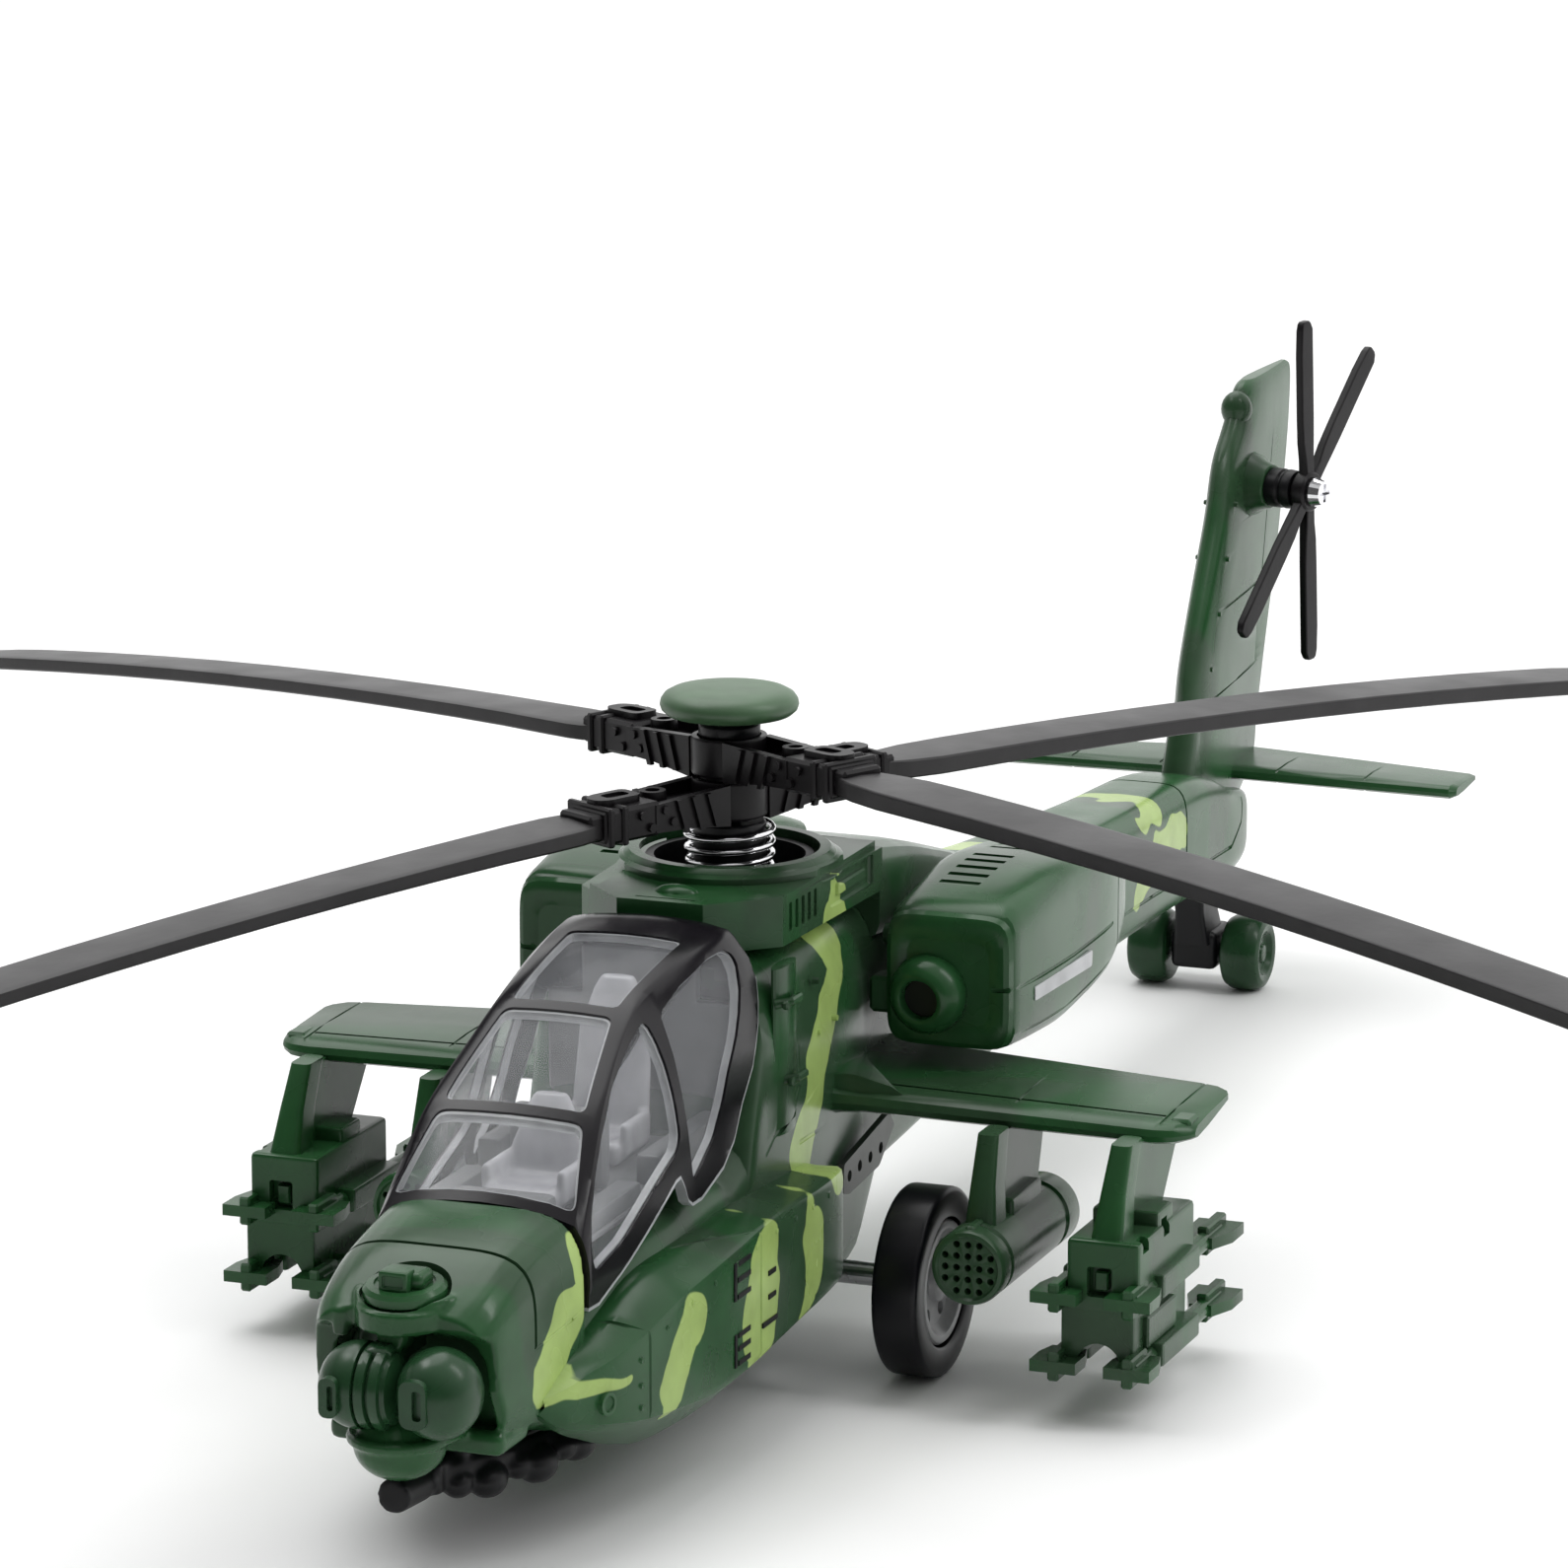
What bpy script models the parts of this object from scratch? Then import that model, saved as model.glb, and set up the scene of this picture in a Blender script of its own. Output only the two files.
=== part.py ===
"""Toy attack helicopter with a spring-loaded rotor, modelled piece by piece.

The nose points along -Y, the port side is +X and +Z is up. The toy rests on its wheels at z = 0, with the
origin under the middle of its bounding box. Lengths below are in millimetres and turn into metres when an
object is made; y is measured from the rotor mast, which stands MAST_Y from the origin.
"""
import math

import bmesh
import bpy
from mathutils import Matrix, Vector

MM = 0.001
GAP = 0.3                    # clearance between pieces that touch
MAST_Y = -37.13              # rotor mast, from the middle of the toy's length
WALL = 1.4                   # body shell thickness

ROTOR_RADIUS = 130.0
ROTOR_TURN = math.radians(-28.0)
BLADE_CHORD = 7.4
BLADE_THICK = 1.9
BLADE_DROOP = 0.00046        # drop per square millimetre of radius
ARM_END = 20.0
LOWER_BAR_Z = 57.6
UPPER_BAR_Z = 61.9
LOWER_BAR_TILT = math.radians(0.7)
UPPER_BAR_TILT = math.radians(1.3)

DECK_TOP = 51.0
DECK_UNDER = 45.6
RING_RADIUS = 10.45
WELL_RADIUS = 8.9
SPRING_RADIUS = 4.6
SPRING_WIRE = 0.36
SPRING_PITCH = 1.55
CUP_FLOOR = 47.0
HUB_UNDER = 55.4
MAST_RADIUS = 2.0

WHEEL_RADIUS = 9.76
WHEEL_WIDTH = 4.84
WHEEL_OUTER_X = 24.85
WHEEL_Y = -3.3
RIM_RADIUS = 6.4
AXLE_RADIUS = 1.2
TAIL_WHEEL_RADIUS = 4.6
TAIL_WHEEL_Y = 158.1
TAIL_WHEEL_X = 5.9
TAIL_WHEEL_WIDTH = 5.0

TURRET_Y = -86.6
TURRET_Z = 20.2
TURRET_RADIUS = 4.4
SENSOR_RADIUS = 4.0

TAIL_ROTOR = Vector((9.3, 168.5, 59.9))
TAIL_ROTOR_RADIUS = 21.0
TAIL_ROTOR_CANT = math.radians(-15.0)
TAIL_ROTOR_SCISSOR = math.radians(46.0)
TAIL_AXIS = Vector((math.cos(TAIL_ROTOR_CANT), math.sin(TAIL_ROTOR_CANT), 0))

WING_TIP_X = 50.0
POD_X = 30.4
POD_Z = 14.5
POD_RADIUS = 3.9
POD_FRONT = -13.4
POD_LENGTH = 24.8
RACK_X = 44.4
RAIL_PLACES = (40.2, 47.7)
RAIL_HEIGHTS = (13.4, 5.8)
RAIL_HALF = 1.45
DOOR_BOX = ((-7.5, -36.0, 5.2), (7.5, -16.0, 6.4))
SCREW_HEAD = 1.6
SCREW_PLACES = ((8.5, -10.0), (-8.5, -10.0))
TUBE_RADIUS = 0.42
SEAM_Z = 27.3                # height of the body seam at the mast
SEAM_SLOPE = -0.042          # how it falls towards the tail

SIDES = (("port", 1), ("starboard", -1))

# Body stations: y from the mast, half width, underside, top.
BODY = (
    (-65.3, 10.4, 10.6, 22.4),
    (-52.0, 11.8, 9.4, 25.2),
    (-43.0, 12.2, 6.0, 26.8),
    (-38.0, 12.4, 5.2, 27.5),
    (-29.2, 12.5, 5.0, 27.6),
    (-21.8, 12.5, 5.0, 45.3),
    (-8.0, 12.5, 5.0, 45.3),
    (4.0, 11.2, 5.0, 45.3),
    (10.0, 11.0, 5.2, 45.3),
    (16.0, 11.0, 13.6, 45.0),
    (46.0, 9.2, 14.6, 41.0),
    (62.0, 8.4, 15.6, 37.0),
    (100.0, 6.7, 16.3, 32.7),
    (140.0, 5.5, 15.0, 30.0),
    (149.0, 5.2, 14.6, 28.0),
    (158.0, 4.8, 14.4, 24.1),
    (165.5, 3.6, 16.4, 23.4),
)

# Sponson stations: y, outer x, underside, top. The inner face follows the body side.
SPONSON = (
    (-71.0, 11.9, 16.6, 18.4),
    (-62.0, 14.2, 11.6, 20.4),
    (-52.0, 16.2, 9.0, 21.2),
    (-42.0, 17.0, 6.2, 21.8),
    (-20.0, 17.2, 5.0, 23.2),
    (-14.0, 16.2, 5.6, 23.6),
    (-9.5, 13.6, 8.0, 23.6),
)

for old in list(bpy.data.objects):
    bpy.data.objects.remove(old, do_unlink=True)

PARTS = bpy.data.collections.new("toy_helicopter")
CUTTERS = bpy.data.collections.new("cutters")
for collection in (PARTS, CUTTERS):
    bpy.context.scene.collection.children.link(collection)


def make_material(name, color, roughness, metallic=0.0, alpha=1.0):
    material = bpy.data.materials.new(name)
    material.use_nodes = True
    shader = material.node_tree.nodes["Principled BSDF"]
    shader.inputs["Base Color"].default_value = (*color, 1.0)
    shader.inputs["Roughness"].default_value = roughness
    shader.inputs["Metallic"].default_value = metallic
    shader.inputs["Alpha"].default_value = alpha
    return material


PALETTE = {
    "green_paint": ((0.020, 0.075, 0.030), 0.22, 0.0, 1.0),
    "black_plastic": ((0.012, 0.012, 0.013), 0.35, 0.0, 1.0),
    "blade_plastic": ((0.045, 0.043, 0.048), 0.38, 0.0, 1.0),
    "clear_plastic": ((0.55, 0.57, 0.58), 0.08, 0.0, 0.35),
    "grey_plastic": ((0.22, 0.22, 0.23), 0.45, 0.0, 1.0),
    "tyre_rubber": ((0.010, 0.010, 0.011), 0.30, 0.0, 1.0),
    "chrome": ((0.80, 0.80, 0.82), 0.08, 1.0, 1.0),
    "steel": ((0.55, 0.55, 0.57), 0.30, 1.0, 1.0),
    "board_green": ((0.010, 0.110, 0.040), 0.50, 0.0, 1.0),
}


def new_empty(name, place, parent=None, axis=None):
    """A named frame; axis, when given, is where its local Z points."""
    empty = bpy.data.objects.new(name, None)
    PARTS.objects.link(empty)
    empty.location = Vector(place) * MM
    if axis is not None:
        empty.rotation_mode = "QUATERNION"
        empty.rotation_quaternion = Vector(axis).to_track_quat("Z", "Y")
    empty.parent = parent
    return empty


def settle():
    bpy.context.view_layer.update()


def add_object(name, bm, look, parent, smooth_angle=35.0):
    """Turn a bmesh in millimetres, written in its parent's frame, into an object with outward faces."""
    bm.normal_update()
    bmesh.ops.recalc_face_normals(bm, faces=bm.faces)
    bm.transform(Matrix.Scale(MM, 4))
    mesh = bpy.data.meshes.new(name)
    bm.to_mesh(mesh)
    bm.free()
    mesh.shade_smooth()
    mesh.set_sharp_from_angle(angle=math.radians(smooth_angle))
    item = bpy.data.objects.new(name, mesh)
    item.parent = parent
    if look is None:
        CUTTERS.objects.link(item)
        item.hide_render = True
        item.display_type = "WIRE"
    else:
        PARTS.objects.link(item)
        mesh.materials.append(LOOKS[look])
    return item


def boolean(target, bm, operation, parent=None):
    """Cut a bmesh out of an object, or join it on, with an exact Boolean."""
    label = f"{target.name}_{operation.lower()}_{len(target.modifiers)}"
    tool = add_object(label, bm, None, parent or target.parent)
    modifier = target.modifiers.new(label, "BOOLEAN")
    modifier.operation = operation
    modifier.solver = "EXACT"
    modifier.object = tool
    return tool


def cut(target, *shapes):
    for bm in shapes:
        boolean(target, bm, "DIFFERENCE")


def fuse(target, *shapes):
    for bm in shapes:
        boolean(target, bm, "UNION")


def keep_inside(target, bm):
    boolean(target, bm, "INTERSECT")


def box(low, high, bevel=0.0):
    """A box between two corners, with its edges rounded when bevel is given."""
    low = Vector(low)
    high = Vector(high)
    bm = bmesh.new()
    bmesh.ops.create_cube(bm, size=1.0)
    size = Vector(abs(b - a) for a, b in zip(low, high))
    bm.transform(Matrix.Translation((low + high) / 2) @ Matrix.Diagonal((*size, 1.0)))
    if bevel:
        bmesh.ops.bevel(bm, geom=bm.edges[:], offset=bevel, segments=2, profile=0.5, affect="EDGES")
    return bm


def rod(start, end, radius, end_radius=None, segments=24):
    """A round bar or a cone from one point to another."""
    start = Vector(start)
    end = Vector(end)
    bm = bmesh.new()
    bmesh.ops.create_cone(
        bm, cap_ends=True, segments=segments, radius1=radius,
        radius2=radius if end_radius is None else end_radius, depth=(end - start).length)
    turn = (end - start).to_track_quat("Z", "Y").to_matrix().to_4x4()
    bm.transform(Matrix.Translation((start + end) / 2) @ turn)
    return bm


def ball(centre, radii, segments=16):
    bm = bmesh.new()
    bmesh.ops.create_uvsphere(bm, u_segments=segments, v_segments=segments // 2, radius=1.0)
    bm.transform(Matrix.Translation(centre) @ Matrix.Diagonal((*radii, 1.0)))
    return bm


def loft(rings):
    """Skin a row of rings that have the same number of points, and close both ends."""
    bm = bmesh.new()
    rows = [[bm.verts.new(point) for point in ring] for ring in rings]
    for row, following in zip(rows, rows[1:]):
        for here, there in zip(range(len(row)), [*range(1, len(row)), 0]):
            bm.faces.new((row[here], row[there], following[there], following[here]))
    bm.faces.new(rows[0])
    bm.faces.new(rows[-1])
    return bm


def oval_ring(y, middle, half_width, z_low, z_high, power=4.5, count=24):
    """A superellipse across the body: power 2 is an ellipse, a higher power is boxier."""
    points = []
    for step in range(count):
        angle = 2 * math.pi * (step + 0.5) / count
        across = math.copysign(abs(math.cos(angle)) ** (2 / power), math.cos(angle))
        along = math.copysign(abs(math.sin(angle)) ** (2 / power), math.sin(angle))
        x = middle + half_width * across
        z = (z_low + z_high) / 2 + (z_high - z_low) / 2 * along
        points.append((x, y, z))
    return points


PLANES = {
    "XY": Matrix.Identity(4),
    "YZ": Matrix(((0, 0, 1, 0), (1, 0, 0, 0), (0, 1, 0, 0), (0, 0, 0, 1))),
    "XZ": Matrix(((1, 0, 0, 0), (0, 0, -1, 0), (0, 1, 0, 0), (0, 0, 0, 1))),
}


def plate(outline, thickness, plane, offset):
    """A flat outline with a thickness, its middle offset from the named plane."""
    curve = bpy.data.curves.new("outline", "CURVE")
    curve.dimensions = "2D"
    curve.fill_mode = "BOTH"
    curve.extrude = thickness / 2
    spline = curve.splines.new("POLY")
    spline.points.add(len(outline) - 1)
    for point, (across, up) in zip(spline.points, outline):
        point.co = (across, up, 0.0, 1.0)
    spline.use_cyclic_u = True
    guide = bpy.data.objects.new("outline", curve)
    bpy.context.scene.collection.objects.link(guide)
    settle()
    mesh = bpy.data.meshes.new_from_object(guide.evaluated_get(bpy.context.evaluated_depsgraph_get()))
    bm = bmesh.new()
    bm.from_mesh(mesh)
    bmesh.ops.remove_doubles(bm, verts=bm.verts, dist=0.001)
    lift = offset if plane != "XZ" else -offset
    bm.transform(PLANES[plane] @ Matrix.Translation((0, 0, lift)))
    bpy.data.objects.remove(guide, do_unlink=True)
    bpy.data.curves.remove(curve)
    bpy.data.meshes.remove(mesh)
    return bm


def turned(name, profile, look, parent, place=(0, 0, 0), axis=(0, 0, 1), steps=32, closed=False):
    """A turned piece: (radius, height) points down its outer side, swept by a Screw about the axis."""
    mesh = bpy.data.meshes.new(name)
    count = len(profile)
    edges = [(i, i + 1) for i in range(count - 1)]
    if closed:
        edges.append((count - 1, 0))
    mesh.from_pydata([(radius * MM, 0.0, height * MM) for radius, height in profile], edges, [])
    mesh.materials.append(LOOKS[look])
    item = bpy.data.objects.new(name, mesh)
    item.parent = parent
    item.location = Vector(place) * MM
    item.rotation_mode = "QUATERNION"
    item.rotation_quaternion = Vector(axis).to_track_quat("Z", "Y")
    PARTS.objects.link(item)
    screw = item.modifiers.new("turn", "SCREW")
    screw.axis = "Z"
    screw.steps = steps
    screw.render_steps = steps
    screw.use_merge_vertices = True
    screw.merge_threshold = 0.00001
    screw.use_smooth_shade = True
    return item


def mirrored(points, side):
    return [(side * x, y, z) for x, y, z in points]


# ---------------------------------------------------------------- body

def body_loft(inset=0.0, stations=BODY):
    """The whole body, or the hollow inside it when inset is the wall thickness."""
    return loft([oval_ring(y, 0.0, half - inset, low + inset, high - inset)
                 for y, half, low, high in stations])


def seam_box(above, margin):
    """Everything above or below the sloping seam between the two shells."""
    reach = 260.0
    shift = margin if above else -margin
    rise = SEAM_SLOPE * reach
    near = SEAM_Z - rise + shift
    far = SEAM_Z + rise + shift
    limit = reach if above else -reach
    outline = ((-reach, near), (reach, far), (reach, limit), (-reach, limit))
    return plate(outline, 80.0, "YZ", 0.0)


def make_shells(root):
    inner = [station for station in BODY if -60.0 < station[0] < 150.0]
    lower = add_object("lower_shell", body_loft(), "green_paint", root)
    keep_inside(lower, seam_box(False, GAP / 2))
    cut(lower, body_loft(WALL, inner))
    cut(lower, rod((-20, WHEEL_Y, WHEEL_RADIUS), (20, WHEEL_Y, WHEEL_RADIUS), AXLE_RADIUS + GAP))
    low, high = DOOR_BOX
    cut(lower, box((low[0] - GAP, low[1] - GAP, 3.0), (high[0] + GAP, high[1] + GAP, 8.0)))
    for x, y in SCREW_PLACES:
        cut(lower, rod((x, y, 3.0), (x, y, 12.0), SCREW_HEAD + GAP, segments=16))

    upper = add_object("upper_shell", body_loft(), "green_paint", root)
    keep_inside(upper, seam_box(True, GAP / 2))
    tail = loft([oval_ring(13.6, 0, 10.6, 40.0, 50.6, 6.0, 16), oval_ring(46.0, 0, 8.8, 36.0, 41.9, 6.0, 16)])
    fuse(upper, tail)
    cut(upper, body_loft(WALL, inner))
    cut(upper, rod((0, 0, 40), (0, 0, 50), MAST_RADIUS + GAP))


def make_nose(root):
    rings = [
        oval_ring(-65.7, 0, 10.6, 10.6, 33.0, 4.5),
        oval_ring(-72.0, 0, 10.0, 10.8, 33.2, 4.5),
        oval_ring(-77.0, 0, 9.5, 11.8, 32.4, 4.5),
        oval_ring(-81.5, 0, 8.8, 13.4, 30.4, 4.5),
        oval_ring(-84.8, 0, 7.6, 16.0, 27.8, 3.8),
    ]
    cowl = add_object("nose_cowl", loft(rings), "green_paint", root)
    fuse(cowl, ball((0, -83.8, 14.4), (4.6, 5.0, 4.0)))
    cut(cowl, rod((-11.6, TURRET_Y, TURRET_Z), (11.6, TURRET_Y, TURRET_Z), TURRET_RADIUS + GAP))

    turret_rings = []
    for x, radius in ((-8.2, 2.2), (-7.6, 3.4), (-6.4, 4.1), (-4.8, TURRET_RADIUS), (-2.6, 4.2), (-2.0, 3.5),
                      (1.0, 3.5), (1.6, 4.2), (4.4, TURRET_RADIUS), (6.4, 4.1), (7.6, 3.4), (8.2, 2.2)):
        turret_rings.append([(x, TURRET_Y + radius * math.cos(2 * math.pi * i / 24),
                              TURRET_Z + radius * math.sin(2 * math.pi * i / 24)) for i in range(24)])
    add_object("nose_turret", loft(turret_rings), "green_paint", root)

    tilt = Vector((0, -0.62, 0.78))
    centre = Vector((0.0, -82.0, 29.0))
    sensor = add_object("night_sensor", rod(centre, centre + tilt * 1.6, SENSOR_RADIUS, SENSOR_RADIUS - 0.4),
                        "green_paint", root)
    fuse(sensor, box((-1.8, -85.0, 29.0), (1.8, -82.2, 31.4)))
    cut(cowl, rod(centre - tilt * 0.3, centre + tilt * 4.0, SENSOR_RADIUS + GAP))


def make_chain_gun(root):
    gun = add_object("chain_gun", box((-4.6, -66.0, 4.4), (4.6, -51.5, 8.6), 0.6), "black_plastic", root)
    fuse(gun, box((-2.8, -74.0, 5.6), (2.8, -64.0, 9.6), 0.6))
    fuse(gun, rod((0, -87.4, 8.3), (0, -70.0, 7.8), 1.0, segments=16))
    fuse(gun, rod((0, -87.6, 8.3), (0, -83.6, 8.2), 1.45, segments=16))
    for y in (-69.5, -61.5, -54.5):
        fuse(gun, rod((-4.0, y, 5.2), (4.0, y, 5.2), 1.9, segments=12))


def canopy_ring(y, sill_x, sill_z, side_x, side_z, corner_x, corner_z, crown_z, shrink, drop):
    """Half a canopy section from sill to crown, mirrored, moved inwards by shrink and down past the sill by drop."""
    half = [(sill_x - shrink, sill_z - drop), (sill_x - shrink, sill_z), (side_x - shrink, side_z),
            (corner_x - shrink * 0.8, corner_z - shrink * 0.8), (corner_x / 2, crown_z - shrink * 1.02)]
    if not drop:
        half = half[1:]
    return [(x, y, z) for x, z in half] + [(-x, y, z) for x, z in reversed(half)]


CANOPY = (
    (-65.2, 11.0, 23.2, 11.2, 26.4, 10.6, 29.8, 32.4),
    (-60.2, 11.2, 24.4, 11.2, 29.5, 9.6, 35.6, 36.9),
    (-55.7, 11.6, 26.0, 11.3, 32.0, 8.8, 39.6, 40.3),
    (-43.2, 12.3, 28.0, 11.2, 37.0, 6.9, 46.5, 47.1),
    (-32.0, 12.4, 28.6, 11.4, 39.5, 6.9, 48.4, 48.9),
    (-29.4, 12.4, 28.4, 11.4, 40.5, 7.0, 48.6, 49.2),
    (-21.6, 12.2, 45.7, 11.6, 46.2, 7.4, 49.2, 49.8),
)


def canopy_loft(shrink, drop=0.0):
    """The canopy's outer skin moved inwards by shrink, or a hollow that also runs out through the sill."""
    rings = [canopy_ring(*station, shrink, drop) for station in CANOPY]
    rings[0] = [(x, y + shrink, z) for x, y, z in rings[0]]
    rings[-1] = [(x, y - shrink, z) for x, y, z in rings[-1]]
    return loft(rings)


def make_canopy(root):
    """A black frame with window openings over a clear moulding that follows it underneath."""
    frame = add_object("canopy_frame", canopy_loft(0.0), "black_plastic", root)
    cut(frame, canopy_loft(1.0, 3.0))
    screens = (
        ((-8.9, -62.6), (8.9, -62.6), (7.6, -57.3), (-7.6, -57.3)),
        ((-7.4, -54.6), (7.4, -54.6), (5.6, -44.9), (-5.6, -44.9)),
        ((-5.5, -42.0), (5.5, -42.0), (5.5, -26.5), (-5.5, -26.5)),
    )
    for outline in screens:
        cut(frame, plate(outline, 40.0, "XY", 50.0))
    front_window = ((-61.6, 28.0), (-60.9, 25.8), (-46.0, 29.6), (-40.4, 33.0), (-42.6, 43.0), (-44.6, 44.4),
                    (-54.6, 38.4), (-58.8, 34.0))
    rear_window = ((-37.6, 30.6), (-30.6, 30.4), (-26.4, 40.0), (-25.6, 45.0), (-28.5, 47.0), (-39.6, 46.2))
    for window in (front_window, rear_window):
        cut(frame, plate(window, 7.0, "YZ", 11.0))
        cut(frame, plate(window, 7.0, "YZ", -11.0))

    glass = add_object("canopy_glass", canopy_loft(1.0 + GAP), "clear_plastic", root)
    cut(glass, canopy_loft(1.9, 3.0))

    seats = add_object("cockpit_seats", box((-6.4, -60.0, 28.3), (6.4, -31.0, 29.4)), "grey_plastic", root)
    for y, height in ((-52.0, 35.0), (-36.0, 41.5)):
        fuse(seats, box((-4.2, y - 5.0, 29.0), (4.2, y + 1.5, 31.4)))
        fuse(seats, box((-4.0, y, 29.2), (4.0, y + 2.2, height)))
        fuse(seats, box((-2.2, y + 0.2, height - 0.6), (2.2, y + 2.0, height + 2.6)))


def make_deck(root):
    outline = ((-4.6, -19.3), (4.6, -19.3), (10.9, -13.2), (11.8, 13.2), (-11.8, 13.2), (-10.9, -13.2))
    deck = add_object("rotor_deck", plate(outline, DECK_TOP - DECK_UNDER, "XY", (DECK_TOP + DECK_UNDER) / 2),
                      "green_paint", root)
    fuse(deck, rod((0, 0, DECK_TOP - 1.0), (0, 0, 51.7), RING_RADIUS + 0.8, RING_RADIUS + 0.4, 48))
    fuse(deck, rod((0, 0, DECK_TOP - 1.0), (0, 0, 52.4), RING_RADIUS, segments=48))
    fuse(deck, ball((0, -14.2, DECK_TOP), (4.4, 2.6, 1.0)))
    for side in (1, -1):
        cut(deck, box((side * 11.0, -1.5, 47.0), (side * 13.0, 10.8, 50.0)))
        for y in (-11.2, -9.4, -7.6, -5.8):
            cut(deck, box((side * 10.5, y, 46.8), (side * 13.0, y + 0.7, 49.8)))
    cut(deck, rod((0, 0, DECK_UNDER - 2), (0, 0, 56), WELL_RADIUS, segments=48))

    cup_radius = WELL_RADIUS - GAP
    turned("spring_cup", ((cup_radius, 51.4), (cup_radius, DECK_UNDER), (MAST_RADIUS + GAP, DECK_UNDER),
                          (MAST_RADIUS + GAP, CUP_FLOOR), (cup_radius - 0.9, CUP_FLOOR), (cup_radius - 0.9, 51.4)),
           "black_plastic", root, steps=32, closed=True)


def body_half_width(y):
    """Half width of the body, straight between its stations."""
    for (y0, half0, *_), (y1, half1, *_) in zip(BODY, BODY[1:]):
        if y0 <= y <= y1:
            return half0 + (half1 - half0) * (y - y0) / (y1 - y0)
    return BODY[0][1] + 0.6


def make_sponson(name, side, root):
    rings = []
    for y, outer, low, high in SPONSON:
        inner = body_half_width(y) + GAP
        corner = min(1.6, (high - low) / 3, (outer - inner) / 2)
        slope = min(2.2, (outer - inner) * 0.6)
        half = [(inner, y, low), (outer - corner, y, low), (outer, y, low + corner * 1.4),
                (outer, y, high - corner), (outer - slope * 0.35, y, high), (inner, y, high + slope * 0.5)]
        rings.append(mirrored(half, side))
    add_object(name, loft(rings), "green_paint", root)


def make_nacelle(label, side, root):
    rings = [
        oval_ring(8.5, side * 20.4, 6.9, 31.0, 45.3, 6.0),
        oval_ring(28.0, side * 19.8, 7.6, 29.8, 46.9, 5.0),
        oval_ring(42.0, side * 19.9, 7.3, 32.2, 45.2, 4.5),
        oval_ring(57.0, side * 18.6, 5.4, 34.6, 42.0, 3.5),
    ]
    nacelle = add_object(f"nacelle_{label}", loft(rings), "green_paint", root)
    cut(nacelle, box((side * 14.1, 6.0, 32.4), (side * 25.8, 10.2, 43.9)))
    cut(nacelle, rod((side * 18.6, 60.0, 38.2), (side * 18.6, 51.0, 38.2), 2.6, segments=20))
    for y in (29.2, 31.4, 33.6):
        cut(nacelle, box((side * 16.1, y, 45.6), (side * 22.6, y + 1.1, 50.0)))
    reach = body_half_width(16.0) + GAP
    for z in (34.4, 40.7):
        fuse(nacelle, rod((side * reach, 15.1, z), (side * 16.0, 15.1, z), 1.1, segments=12))

    turned(f"intake_{label}", ((2.5, 3.4), (3.2, 2.9), (3.7, 2.0), (3.9, 0.8), (3.9, -1.2), (1.9, -1.2), (1.9, 3.2)),
           "green_paint", root, (side * 18.4, 8.7, 36.6), (0, -1, 0), 24, True)


def wing_ring(x, front, rear, z_front, z_rear, thick):
    middle = front + (rear - front) * 0.35
    z_middle = z_front + (z_rear - z_front) * 0.35
    return [(x, front, z_front - thick * 0.35), (x, front, z_front + thick * 0.35),
            (x, middle, z_middle + thick / 2), (x, rear, z_rear + thick * 0.3),
            (x, rear, z_rear - thick * 0.3), (x, middle, z_middle - thick / 2)]


def make_wing(label, side, root):
    root_ring = wing_ring(0.0, -3.4, 19.0, 27.2, 28.4, 3.6)
    rings = [
        [(side * (body_half_width(y) + GAP), y, z) for _, y, z in root_ring],
        wing_ring(side * 14.0, -2.4, 17.4, 27.2, 28.4, 2.0),
        wing_ring(side * 47.6, -3.2, 12.8, 27.0, 28.2, 1.5),
        wing_ring(side * (WING_TIP_X - 1.9), -1.0, 12.6, 27.0, 28.2, 1.5),
        wing_ring(side * WING_TIP_X, -0.7, 11.4, 27.0, 28.1, 1.3),
    ]
    add_object(f"wing_{label}", loft(rings), "green_paint", root)


def make_rocket_pod(label, side, root):
    """A round pod with a honeycomb of tubes in its face, hung under the wing on a raked pylon."""
    x = side * POD_X
    back = POD_FRONT + POD_LENGTH
    rings = []
    for y, radius in ((POD_FRONT, 3.6), (POD_FRONT + 0.8, POD_RADIUS), (back - 4.2, POD_RADIUS),
                      (back - 4.0, 3.7), (back - 3.6, 3.7), (back - 3.4, POD_RADIUS), (back - 0.8, POD_RADIUS),
                      (back, 3.2)):
        rings.append([(x + radius * math.cos(2 * math.pi * i / 24), y,
                       POD_Z + radius * math.sin(2 * math.pi * i / 24)) for i in range(24)])
    pod = add_object(f"rocket_pod_{label}", loft(rings), "green_paint", root)
    pylon = ((-2.3, 26.15), (8.6, 26.6), (6.2, 16.4), (-8.3, 16.4))
    fuse(pod, plate(pylon, 2.5, "YZ", x))
    fuse(pod, box((x - 1.9, -4.6, 17.0), (x + 1.9, 4.0, 19.4), 0.3))
    for across, up in TUBE_PLACES:
        cut(pod, rod((x + across, POD_FRONT - 1, POD_Z + up), (x + across, POD_FRONT + 1.6, POD_Z + up),
                     TUBE_RADIUS, segments=6))


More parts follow.
